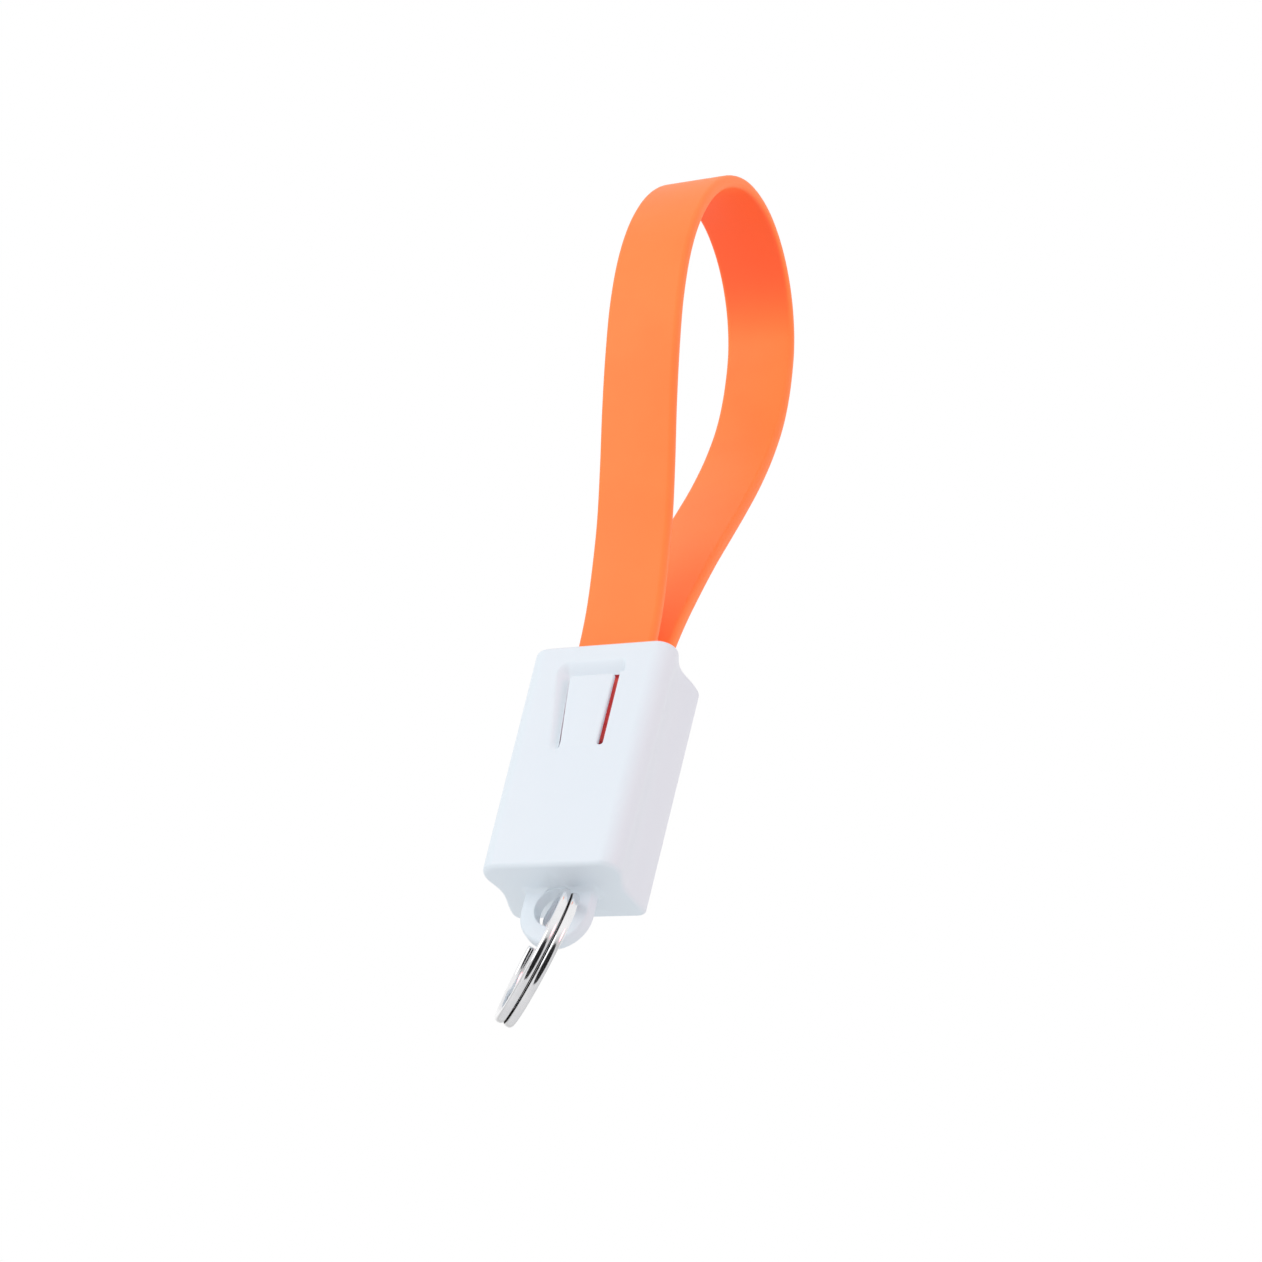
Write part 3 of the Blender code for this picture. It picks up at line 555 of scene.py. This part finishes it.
def folded_tube(outline_at, wall, lip, low_z, high_z):
    """A tube from outline_at(inset), with its rims rounded by the lip."""
    bm = bmesh.new()
    path = quarter_rounds(low_z, high_z, lip, steps=3)
    path += [(z, wall - inset) for z, inset in reversed(path)]
    loft(bm, [[(x, y, z) for x, y in outline_at(inset)] for z, inset in path], ends=False, joined=True)
    return bm


tube_low, tube_high = (in_holder(corner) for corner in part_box("charger_plug_shell"))
tube_width = tube_high[0] - tube_low[0]
tube_thickness = tube_high[1] - tube_low[1]


def wide_outline(inset):
    """Points round the wide tube, so far inside its outer face."""
    corner = max(TUBE_CORNER - inset, TUBE_LEAST_CORNER)
    outline = rounded_outline(tube_width - 2 * inset, tube_thickness - 2 * inset, corner, steps=5)
    return [(x, CHARGER_Y + y) for x, y in outline]


bm = folded_tube(wide_outline, TUBE_WALL, TUBE_LIP, tube_low[2], tube_high[2])
wide_tube = piece("wide_tube", bm, plated_steel)
for side in (-1, 1):
    window_left = side * TUBE_WINDOW_PITCH / 2 - TUBE_WINDOW / 2
    window_right = side * TUBE_WINDOW_PITCH / 2 + TUBE_WINDOW / 2
    window_z = tube_low[2] + TUBE_WINDOW_RISE
    carve(wide_tube, block((window_left, tube_low[1] - CUT_PAST, window_z),
                           (window_right, tube_high[1] + CUT_PAST, window_z + TUBE_WINDOW), TUBE_WINDOW_EDGE))
carve(wide_tube, block((-SEAM_WIDTH / 2, tube_high[1] - SEAM_DEPTH, tube_low[2] - CUT_PAST),
                       (SEAM_WIDTH / 2, tube_high[1] + CUT_PAST, tube_high[2] + CUT_PAST)))
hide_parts("charger_plug_shell")
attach(wide_tube, "cable")


# The wide plug's carrier: a flat tongue of pale hard plastic, moulded alone and held inside the tube. Its
# edges are rounded, as a lead-in for the socket.
CARRIER_EDGE = 0.2
PALE_SHADES = ((0.74, 0.74, 0.71, 1), (0.82, 0.82, 0.79, 1))

pale_plastic, pale_shader, pale = material("pale_plastic")
place = pale.node("TexCoord").out("Object")
flow = pale.node("TexNoise", sockets={"Vector": place, "Scale": 500.0, "Detail": 3.0})
flow.blend(*PALE_SHADES).to(pale_shader.inputs["Base Color"])
(0.4 + 0.15 * flow).to(pale_shader.inputs["Roughness"])
carrier_low, carrier_high = (in_holder(corner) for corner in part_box("charger_plug_carrier"))
carrier = piece("wide_carrier", block(carrier_low, carrier_high, CARRIER_EDGE), pale_plastic)
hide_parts("charger_plug_carrier")
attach(carrier, "cable")


# The wide plug's contacts: four stamped strips with a gold flash on the carrier's front face, the outer pair
# longer so that power joins first.
WIDE_CONTACTS = 4
CONTACT_EDGE = 0.08
GILT_SHADES = ((0.93, 0.66, 0.27, 1), (1.0, 0.77, 0.4, 1))
RUBBED_RANGE = (0.3, 0.75)

gilt_strip, gilt_shader, gilt = material("gilt_strip")
place = gilt.node("TexCoord").out("Object")
rubbed = gilt.node("TexNoise", sockets={"Vector": place, "Scale": 700.0, "Detail": 3.0})
rubbed.step(*RUBBED_RANGE).blend(*GILT_SHADES).to(gilt_shader.inputs["Base Color"])
(0.18 + 0.2 * rubbed).to(gilt_shader.inputs["Roughness"])
gilt_shader.inputs["Metallic"].default_value = 1.0
for number in range(1, WIDE_CONTACTS + 1):
    strip_low, strip_high = (in_holder(corner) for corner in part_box(f"charger_plug_contact_{number}"))
    contact = piece(f"wide_contact_{number}", block(strip_low, strip_high, CONTACT_EDGE), gilt_strip)
    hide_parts(f"charger_plug_contact_{number}")
    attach(contact, "cable")


# The small plug's tube: thinner plated steel, with its two rear corners cut off so that it enters one way
# round, and a slit near its tip for each catch.
SMALL_WALL = 0.25
SMALL_REAR_CUT = 0.6
SMALL_FRONT_CUT = 0.2
SMALL_LIP = 0.08
BARB_LENGTH = 1.2
CATCH_CLEARANCE = 0.12
CATCH_SLIT_DEPTH = 0.6
CATCH_SLIT_EDGE = 0.04

small_low, small_high = (in_holder(corner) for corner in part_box("phone_plug_shell"))
small_half = (small_high[0] - small_low[0]) / 2
small_thick = (small_high[1] - small_low[1]) / 2


def small_outline(inset):
    """Points round the small tube, so far inside its outer face."""
    half = small_half - inset
    thick = small_thick - inset
    points = [(half - SMALL_FRONT_CUT, -thick), (half, -thick + SMALL_FRONT_CUT),
              (half, thick - SMALL_REAR_CUT), (half - SMALL_REAR_CUT, thick)]
    points += [(-x, y) for x, y in reversed(points)]
    return [(x, PHONE_Y + y) for x, y in points]


bm = folded_tube(small_outline, SMALL_WALL, SMALL_LIP, small_low[2], small_high[2])
small_tube = piece("small_tube", bm, plated_steel)
catch_boxes = {}
for side in ("left", "right"):
    catch_boxes[side] = [in_holder(corner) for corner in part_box(f"phone_plug_hook_{side}")]
for catch_low, catch_high in catch_boxes.values():
    slit_low = (catch_low[0] - CATCH_CLEARANCE, catch_low[1], catch_low[2] - CATCH_CLEARANCE)
    slit_high = (catch_high[0] + CATCH_CLEARANCE, PHONE_Y - CATCH_SLIT_DEPTH,
                 catch_low[2] + BARB_LENGTH + CATCH_CLEARANCE)
    carve(small_tube, block(slit_low, slit_high, CATCH_SLIT_EDGE))
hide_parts("phone_plug_shell")
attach(small_tube, "cable")


# The small plug's catches: two strips of spring steel beside the insulator, each with a sloping barb that
# stands out of the tube's front and is pressed in by the socket.
CATCH_THICKNESS = 0.4
BARB_CORNER = 0.1
BARB_SLOPE_END = 0.45
BARB_TOP_START = 0.6

for side, (catch_low, catch_high) in catch_boxes.items():
    front = catch_high[1] - CATCH_THICKNESS
    base = catch_low[2]
    barb = catch_low[1]
    barb_end = base + BARB_LENGTH
    profile = [(front, catch_high[2]), (catch_high[1], catch_high[2]), (catch_high[1], base), (front, base),
               (barb + BARB_CORNER, base + BARB_SLOPE_END), (barb, base + BARB_TOP_START),
               (barb, barb_end - BARB_CORNER), (barb + BARB_CORNER, barb_end), (front, barb_end)]
    bm = bmesh.new()
    loft(bm, [[(x, y, z) for y, z in profile] for x in (catch_low[0], catch_high[0])])
    catch = piece(f"catch_{side}", bm, plated_steel)
    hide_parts(f"phone_plug_hook_{side}")
    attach(catch, f"catch_{side}")


# The small plug's insulator: a thin bar of hard black plastic that carries the contacts. It is moulded alone
# and held inside the small tube.
BAR_EDGE = 0.08
BLACK_SHADES = ((0.012, 0.012, 0.014, 1), (0.03, 0.03, 0.033, 1))

black_plastic, black_shader, black = material("black_plastic")
place = black.node("TexCoord").out("Object")
bloom = black.node("TexNoise", sockets={"Vector": place, "Scale": 900.0, "Detail": 3.0})
bloom.blend(*BLACK_SHADES).to(black_shader.inputs["Base Color"])
(0.38 + 0.2 * bloom).to(black_shader.inputs["Roughness"])
bar_low, bar_high = (in_holder(corner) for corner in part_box("phone_plug_insulator"))
insulator = piece("small_insulator", block(bar_low, bar_high, BAR_EDGE), black_plastic)
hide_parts("phone_plug_insulator")
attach(insulator, "cable")


# The small plug's contacts: five fine strips with a gold flash, close together at the tip and bent apart
# towards the wires. They are stamped, so their edges are only a little eased, and they lie on the insulator.
SMALL_CONTACTS = 5
WELD_REACH = 0.001
CONTACT_EASE = 0.04

for number in range(1, SMALL_CONTACTS + 1):
    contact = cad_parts[f"phone_plug_contact_{number}"]
    contact.data.materials.clear()
    contact.data.materials.append(gilt_strip)
    welding = contact.modifiers.new("welding", "WELD")
    welding.merge_threshold = WELD_REACH * MM
    rounding = contact.modifiers.new("rounding", "BEVEL")
    rounding.width = CONTACT_EASE * MM
    rounding.segments = 2

# The cable's route points in metres are listed here, once all it carries is made, and the list is not kept.
[tuple(holder_top + point * MM) for point in route]


# The holder: one white moulding, a sleeve with waisted sides drawn in towards its foot. Its front has a soft
# hollow round the latch tongue, its top is open for the plugs, and a rounded lug grows out of its foot.
FRONT_Y = -5.575
REAR_Y = 5.575
FOOT_Z = -31.6
HALF_FRONT = 9.18
REAR_NARROWING = 0.19
WAIST = 0.75
WAIST_SKEW = 0.8
FRONT_CORNER = 2.18
REAR_CORNER = 0.9
RIM = 0.62
FOOT_DRAW_IN = 0.7
FOOT_SCALE = 1 - FOOT_DRAW_IN / HALF_FRONT
TONGUE_TIP_Z = -4.6
TONGUE_ROOT_Z = -15.2
TONGUE_TIP_SIDES = (-3.2, 2.7)
TONGUE_ROOT_SIDES = (-2.05, 2.66)
SLIT = 0.28
WINDOW_RIGHT = 3.45
WINDOW_CORNER = 0.35
WINDOW_PAST = 0.5
RELIEF_FRONT_Y = -4.6
RELIEF_HEIGHT = 1.2
RELIEF_LEFT = 1.0
RELIEF_RIGHT = 0.3
RELIEF_LAP = 0.1
HOLLOW_TIP_REACH = 1.45
HOLLOW_ROOT_REACH = 0.95
HOLLOW_RIGHT_REACH = 0.5
HOLLOW_TOP_REACH = 1.75
HOLLOW_TAIL = 0.9
HOLLOW_TIP_DEPTH = 0.9
HOLLOW_ROOT_DEPTH = 0.5
POCKET_HALF = 6.75
POCKET_FRONT_Y = -4.225
POCKET_REAR_Y = 4.375
POCKET_TIP_HALF = 6.2
POCKET_LEDGE_Z = -13.7
POCKET_LEDGE_DROP = 0.2
POCKET_FLOOR_Z = -29.8
POCKET_CORNER = 0.5
POCKET_MOUTH_ROUND = 0.35
LUG_Z = -34.5
LUG_RADIUS = 4.25
LUG_HOLE_Z = -34.1
LUG_HOLE = 2.52
LUG_HOLE_ROUND = 0.12
LUG_HOLE_CUT = 2.7
LUG_HALF = 0.9
LUG_EDGE = 0.4
LUG_ROOT_RISE = 0.9
LUG_FILLET = 0.9
LUG_FILLET_RISE = 0.7
LUG_FILLET_SPARE = 0.05
FRONT_COLUMNS = 120
PLAIN_ROWS_RISE = 2
ROW_PITCH = 0.15
ROWS_FROM = -17.5
ROWS_TO = -1.5
WHITE_SHADES = ((0.812, 0.887, 0.952, 1), (0.827, 0.897, 0.957, 1))

white_moulding, white_shader, white = material("white_moulding")
place = white.node("TexCoord").out("Object")
spark = white.node("TexNoise", sockets={"Vector": place, "Scale": 6500.0, "Detail": 2.0})
flow = white.node("TexNoise", sockets={"Vector": place, "Scale": 60.0, "Detail": 3.0})
flow.step(*CLOUD_RANGE).blend(*WHITE_SHADES).to(white_shader.inputs["Base Color"])
(0.34 + 0.1 * spark + 0.06 * flow).to(white_shader.inputs["Roughness"])
eroded = white.node("Bump", sockets={"Strength": 0.35, "Distance": 0.008 * MM, "Height": spark})
eroded.to(white_shader.inputs["Normal"])


def smooth(value):
    """0 up to 0 and 1 from 1, with a smooth rise between."""
    value = min(max(value, 0), 1)
    return value * value * (3 - 2 * value)


def tongue_share(z):
    """How far up the tongue a height is, from 0 at the root to 1 at the tip."""
    return min(max((z - TONGUE_ROOT_Z) / (TONGUE_TIP_Z - TONGUE_ROOT_Z), 0), 1)


def tongue_sides(z):
    """Where the tongue's left and right edges are at a height."""
    share = tongue_share(z)
    return [root + (tip - root) * share for root, tip in zip(TONGUE_ROOT_SIDES, TONGUE_TIP_SIDES)]


def hollow_depth(x, z):
    """How far the front face sinks at a place: most along the slits on the tongue's left and above it."""
    slit_edge = tongue_sides(z)[0] - SLIT
    share = tongue_share(z)
    left = max(slit_edge - x, 0) / (HOLLOW_ROOT_REACH + (HOLLOW_TIP_REACH - HOLLOW_ROOT_REACH) * share)
    right = max(x - WINDOW_RIGHT, 0) / HOLLOW_RIGHT_REACH
    above = max(z - TONGUE_TIP_Z - SLIT, 0) / HOLLOW_TOP_REACH
    near = 1 - sqrt(left * left + right * right + above * above)
    if near <= 0:
        return 0.0
    depth = HOLLOW_ROOT_DEPTH + (HOLLOW_TIP_DEPTH - HOLLOW_ROOT_DEPTH) * share
    depth *= (near + smooth(near)) / 2
    depth *= smooth((z - TONGUE_ROOT_Z + HOLLOW_TAIL) / (2 * HOLLOW_TAIL))
    if z < TONGUE_TIP_Z:
        depth *= 1 - smooth((x - slit_edge) / SLIT)
    elif x > WINDOW_RIGHT:
        depth *= smooth((z - TONGUE_TIP_Z) / SLIT)
    return depth


def sleeve_outline():
    """Points round the sleeve at its top, from the front's left to its right and on round the back."""
    half_rear = HALF_FRONT - REAR_NARROWING
    straight = HALF_FRONT - FRONT_CORNER
    front = [(straight * (2 * k / FRONT_COLUMNS - 1), FRONT_Y) for k in range(FRONT_COLUMNS)]
    side = []
    for angle in arc(steps=10):
        side.append((HALF_FRONT - FRONT_CORNER * (1 - sin(angle)),
                     FRONT_Y + FRONT_CORNER * (1 - cos(angle))))
    run = REAR_Y - FRONT_Y - FRONT_CORNER - REAR_CORNER
    waist_steps = 30
    for step in range(1, waist_steps):
        t = step / waist_steps
        side.append((HALF_FRONT - REAR_NARROWING * t - WAIST * sin(pi * t**WAIST_SKEW) ** 2,
                     FRONT_Y + FRONT_CORNER + run * t))
    for angle in arc(steps=6):
        side.append((half_rear - REAR_CORNER * (1 - cos(angle)),
                     REAR_Y - REAR_CORNER * (1 - sin(angle))))
    return front + side + [(-x, y) for x, y in reversed(side)][:-1]


bm = bmesh.new()
outline = sleeve_outline()
levels = quarter_rounds(FOOT_Z, 0, RIM, steps=6)
plain_from = FOOT_Z + PLAIN_ROWS_RISE
levels += [(plain_from + k, 0) for k in range(int(ROWS_FROM - plain_from))]
levels += [(ROWS_FROM + ROW_PITCH * k, 0) for k in range(int((ROWS_TO - ROWS_FROM) / ROW_PITCH))]
rings = []
for z, inset in sorted(set(levels)):
    wide = (1 - (1 - FOOT_SCALE) * z / FOOT_Z) * (1 - inset / HALF_FRONT)
    deep = 1 - inset / REAR_Y
    ring = []
    for x, y in outline:
        sink = hollow_depth(x * wide, z) if y == FRONT_Y else 0
        ring.append((x * wide, y * deep + sink, z))
    rings.append(ring)
loft(bm, rings)
# Triangles keep the bent faces of the hollow from leaving slivers where the openings are cut.
bmesh.ops.triangulate(bm, faces=bm.faces)
holder = piece("holder", bm, white_moulding)

# The lug: a tab with a round end, joined to the foot by a fillet, and its hole.
bm = bmesh.new()
tab_outline = [(LUG_RADIUS, FOOT_Z + LUG_ROOT_RISE)]
for angle in arc(steps=48, turn=pi):
    tab_outline.append((LUG_RADIUS * cos(angle), LUG_Z - LUG_RADIUS * sin(angle)))
tab_outline.append((-LUG_RADIUS, FOOT_Z + LUG_ROOT_RISE))
rings = []
for y, inset in quarter_rounds(-LUG_HALF, LUG_HALF, LUG_EDGE, steps=5):
    shrink = 1 - inset / LUG_RADIUS
    rings.append([(x * shrink, y, z if z > LUG_Z else LUG_Z + (z - LUG_Z) * shrink) for x, z in tab_outline])
loft(bm, rings)
carve(holder, bm, "UNION")

bm = bmesh.new()
rings = []
for angle in arc(steps=8):
    drop = LUG_FILLET * (1 - cos(angle))
    flare = LUG_FILLET * (1 - sin(angle))
    grown = rounded_outline(2 * (LUG_RADIUS + flare) - LUG_FILLET_SPARE,
                            2 * (LUG_HALF + flare) - LUG_FILLET_SPARE, LUG_EDGE + flare, steps=6)
    rings.append([(x, y, FOOT_Z - drop) for x, y in grown])
rings.insert(0, [(x, y, FOOT_Z + LUG_FILLET_RISE) for x, y, z in rings[0]])
loft(bm, rings)
carve(holder, bm, "UNION")

bm = bmesh.new()
rings = []
hole_levels = quarter_rounds(-LUG_HALF, LUG_HALF, LUG_HOLE_ROUND, steps=5)
hole_levels = [(-LUG_HOLE_CUT, LUG_HOLE_ROUND)] + hole_levels + [(LUG_HOLE_CUT, LUG_HOLE_ROUND)]
for y, grow in hole_levels:
    rings.append([(x, y, LUG_HOLE_Z + z) for x, z in circle(LUG_HOLE + grow, steps=64)])
loft(bm, rings)
carve(holder, bm)

# The pocket: wide for the mouldings above its ledge and narrow for the plugs below, with a rounded mouth.
bm = bmesh.new()
rings = []
pocket_middle = (POCKET_FRONT_Y + POCKET_REAR_Y) / 2
pocket_depth = POCKET_REAR_Y - POCKET_FRONT_Y
pocket_levels = [(POCKET_FLOOR_Z, POCKET_TIP_HALF, 0),
                 (POCKET_LEDGE_Z - POCKET_LEDGE_DROP, POCKET_TIP_HALF, 0), (POCKET_LEDGE_Z, POCKET_HALF, 0)]
for angle in arc(steps=5):
    pocket_levels.append((-POCKET_MOUTH_ROUND * (1 - sin(angle)), POCKET_HALF,
                          POCKET_MOUTH_ROUND * (1 - cos(angle))))
pocket_levels.append((CUT_PAST, POCKET_HALF, POCKET_MOUTH_ROUND))
for z, half, grow in pocket_levels:
    opening = rounded_outline(2 * (half + grow), pocket_depth + 2 * grow, POCKET_CORNER + grow, steps=5)
    rings.append([(x, pocket_middle + y, z) for x, y in opening])
loft(bm, rings)
carve(holder, bm)

# The window that frees the tongue, with a round-ended slit at its right and a relief behind its right corner.
bm = bmesh.new()
window_root = TONGUE_ROOT_SIDES[0] - SLIT
window_tip = TONGUE_TIP_SIDES[0] - SLIT
window_top = TONGUE_TIP_Z + SLIT
slit_left = TONGUE_ROOT_SIDES[1]
slit_round = (WINDOW_RIGHT - slit_left) / 2
window = [(window_root, TONGUE_ROOT_Z), (slit_left, TONGUE_ROOT_Z)]
for angle in arc(steps=8, turn=pi):
    window.append((slit_left + slit_round * (1 - cos(angle)), TONGUE_ROOT_Z + slit_round * (1 - sin(angle))))
for angle in arc(steps=5):
    window.append((WINDOW_RIGHT - WINDOW_CORNER * (1 - cos(angle)),
                   window_top - WINDOW_CORNER * (1 - sin(angle))))
for angle in reversed(arc(steps=5)):
    window.append((window_tip + WINDOW_CORNER * (1 - cos(angle)),
                   window_top - WINDOW_CORNER * (1 - sin(angle))))
window_rear = POCKET_FRONT_Y + WINDOW_PAST
loft(bm, [[(x, y, z) for x, z in window] for y in (FRONT_Y - CUT_PAST, window_rear)])
carve(holder, bm)
carve(holder, block((slit_left - RELIEF_LEFT, RELIEF_FRONT_Y, window_top - RELIEF_LAP),
                    (WINDOW_RIGHT - RELIEF_RIGHT, window_rear, window_top + RELIEF_HEIGHT)))
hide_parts("holder_shell")
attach(holder, "holder")


# The latch tongue: part of the same white moulding on the real holder, cut free on three sides so that it
# springs out over the plug, with a nub behind its tip. It bends from its root, which runs into the front
# face, so the root's edges are square and only round off further up.
TONGUE_THICKNESS = 0.85
TONGUE_SINK = 0.1
TONGUE_ROUND = 0.3
TONGUE_CORNER = 0.5
TONGUE_CHAMFER = 0.45
TONGUE_LEAST_FLAT = 0.02
ROOT_SHARE = 0.08
ROOT_LEAST_ROUND = 0.05
NUB_REACH = 0.3
NUB_BELOW_TIP = 1.8
NUB_HALF = 0.8
BODY_ROWS = 36

bm = bmesh.new()
rings = []
corner_z = TONGUE_TIP_Z - TONGUE_CORNER
tongue_rows = [TONGUE_ROOT_Z + (corner_z - TONGUE_ROOT_Z) * k / BODY_ROWS for k in range(BODY_ROWS)]
tongue_rows += [corner_z + TONGUE_CORNER * sin(angle) for angle in arc(steps=8)]
for z in tongue_rows:
    share = tongue_share(z)
    over = max(z - TONGUE_TIP_Z + TONGUE_ROUND, 0)
    tip_round = TONGUE_ROUND - sqrt(TONGUE_ROUND**2 - min(over, TONGUE_ROUND) ** 2)
    front = FRONT_Y + TONGUE_SINK * share * share + tip_round
    rear = FRONT_Y + TONGUE_SINK + TONGUE_THICKNESS
    nub = rear + NUB_REACH * max(1 - ((z - TONGUE_TIP_Z + NUB_BELOW_TIP) / NUB_HALF) ** 2, 0)
    past = min(max(z - corner_z, 0), TONGUE_CORNER)
    draw_in = TONGUE_CORNER - sqrt(TONGUE_CORNER**2 - past**2)
    left, right = tongue_sides(z)
    left += draw_in
    right -= draw_in
    soft = TONGUE_ROUND * min(max(share / ROOT_SHARE, ROOT_LEAST_ROUND), 1)
    chamfer = min(TONGUE_CHAMFER, rear - front - soft - TONGUE_LEAST_FLAT)
    corner = [(soft * (1 - cos(angle)), front + soft * (1 - sin(angle))) for angle in arc(steps=5)]
    ring = [(right - chamfer, rear), (right, rear - chamfer)]
    ring += [(right - inset, y) for inset, y in corner]
    ring += [(left + inset, y) for inset, y in reversed(corner)]
    ring += [(left, rear - chamfer), (left + chamfer, rear)]
    ring += [(left / 2, nub), (right / 2, nub)]
    rings.append([(x, y, z) for x, y in ring])
loft(bm, rings)
tongue = piece("tongue", bm, white_moulding)
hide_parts("latch_tongue")
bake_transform(tongue)


# The split ring: one length of flattened, bright plated spring wire wound twice round, so that a key can be
# threaded between the coils. It hangs in the lug, and its two cut ends lie behind, either side of the
# crossing. The faces between the coils are painted dark as shade, but not at the crossing, where they part.
RING_OUTER = 8.165
RING_WIRE_DEPTH = 1.15
RING_WIRE_WIDTH = 1.05
RING_WIRE_ROUND = 0.42
RING_GAP = 0.04
RING_TURN = (radians(-11.5), radians(10.35), radians(39.2))
RING_CROSSING = radians(26)
RING_CROSSING_AT = radians(153.5)
RING_START = RING_CROSSING / 2 + radians(3.5)
RING_PIVOT = Vector((0.1, 0, -34.0))
RING_STEPS = 640
RING_END_TRIM = 0.85
GAP_SHADE_REACH = (0.18, 0.06)
GAP_SHADE_TURN = (0.1, 0.4)
PAINTED_GAP_SHADE = (0.05, 0.042, 0.038, 1)
CROSSING_UNSHADED_REACH = (1.7, 2.7)
NICKEL_SHADES = ((0.8, 0.8, 0.815, 1), (0.88, 0.88, 0.89, 1))
MM_PER_METRE = 1000

bright_nickel, nickel_shader, nickel = material("bright_nickel")
place = nickel.node("TexCoord").out("Object")
rubbed = nickel.node("TexNoise", sockets={"Vector": place, "Scale": 420.0, "Detail": 4.0})
fine = nickel.node("TexNoise", sockets={"Vector": place, "Scale": 4200.0, "Detail": 2.0})
lean = Euler(RING_TURN, "XYZ").to_matrix()
ring_middle = RING_OUTER - RING_WIRE_DEPTH / 2
across = tuple(lean @ Vector((1, 0, 0)))
offset = nickel.node("VectorMath", {"operation": "SUBTRACT"}, {0: place, 1: tuple(RING_PIVOT * MM)})
aside = nickel.node("VectorMath", {"operation": "DOT_PRODUCT"}, {0: offset, 1: across}, 1)
turned = nickel.node("VectorMath", {"operation": "DOT_PRODUCT"},
                     {0: nickel.node("TexCoord").out("Normal"), 1: across}, 1)
to_crossing = Vector((0, sin(RING_CROSSING_AT), -1 - cos(RING_CROSSING_AT))) * ring_middle
crossing = tuple((RING_PIVOT + lean @ to_crossing) * MM)
from_crossing = nickel.node("VectorMath", {"operation": "DISTANCE"}, {0: place, 1: crossing}, 1)
off_crossing = (from_crossing * MM_PER_METRE).step(*CROSSING_UNSHADED_REACH)
between = nickel.math("ABSOLUTE", aside * MM_PER_METRE).step(*GAP_SHADE_REACH)
# Painted shade: the coils' sides that face each other across the gap are darkened, away from the crossing.
gap_shade_mask = between * nickel.math("ABSOLUTE", turned).step(*GAP_SHADE_TURN) * off_crossing
plated = rubbed.step(*RUBBED_RANGE).blend(*NICKEL_SHADES)
gap_shade_mask.blend(plated, PAINTED_GAP_SHADE).to(nickel_shader.inputs["Base Color"])
(0.06 + 0.08 * rubbed + 0.05 * fine + 0.4 * gap_shade_mask).to(nickel_shader.inputs["Roughness"])
nickel_shader.inputs["Metallic"].default_value = 1.0

bm = bmesh.new()
rings = []
half_step = (RING_WIRE_WIDTH + RING_GAP) / 2
ring_end = 4 * pi - RING_START
for k in range(RING_STEPS + 1):
    angle = RING_START + (ring_end - RING_START) * k / RING_STEPS
    crossed = smooth((angle - 2 * pi + RING_CROSSING / 2) / RING_CROSSING)
    side = half_step * (1 - 2 * crossed)
    outward = Vector((0, sin(angle + RING_CROSSING_AT), -cos(angle + RING_CROSSING_AT)))
    middle = Vector((side, 0, -ring_middle)) + outward * ring_middle
    trim = RING_END_TRIM if k in (0, RING_STEPS) else 1.0
    section = rounded_outline(RING_WIRE_WIDTH * trim, RING_WIRE_DEPTH * trim, RING_WIRE_ROUND * trim, steps=5)
    rings.append([RING_PIVOT + lean @ (middle + Vector((u, 0, 0)) + outward * w) for u, w in section])
loft(bm, rings)
key_ring = piece("key_ring", bm, bright_nickel)
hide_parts("split_ring")
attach(key_ring, "key_ring")
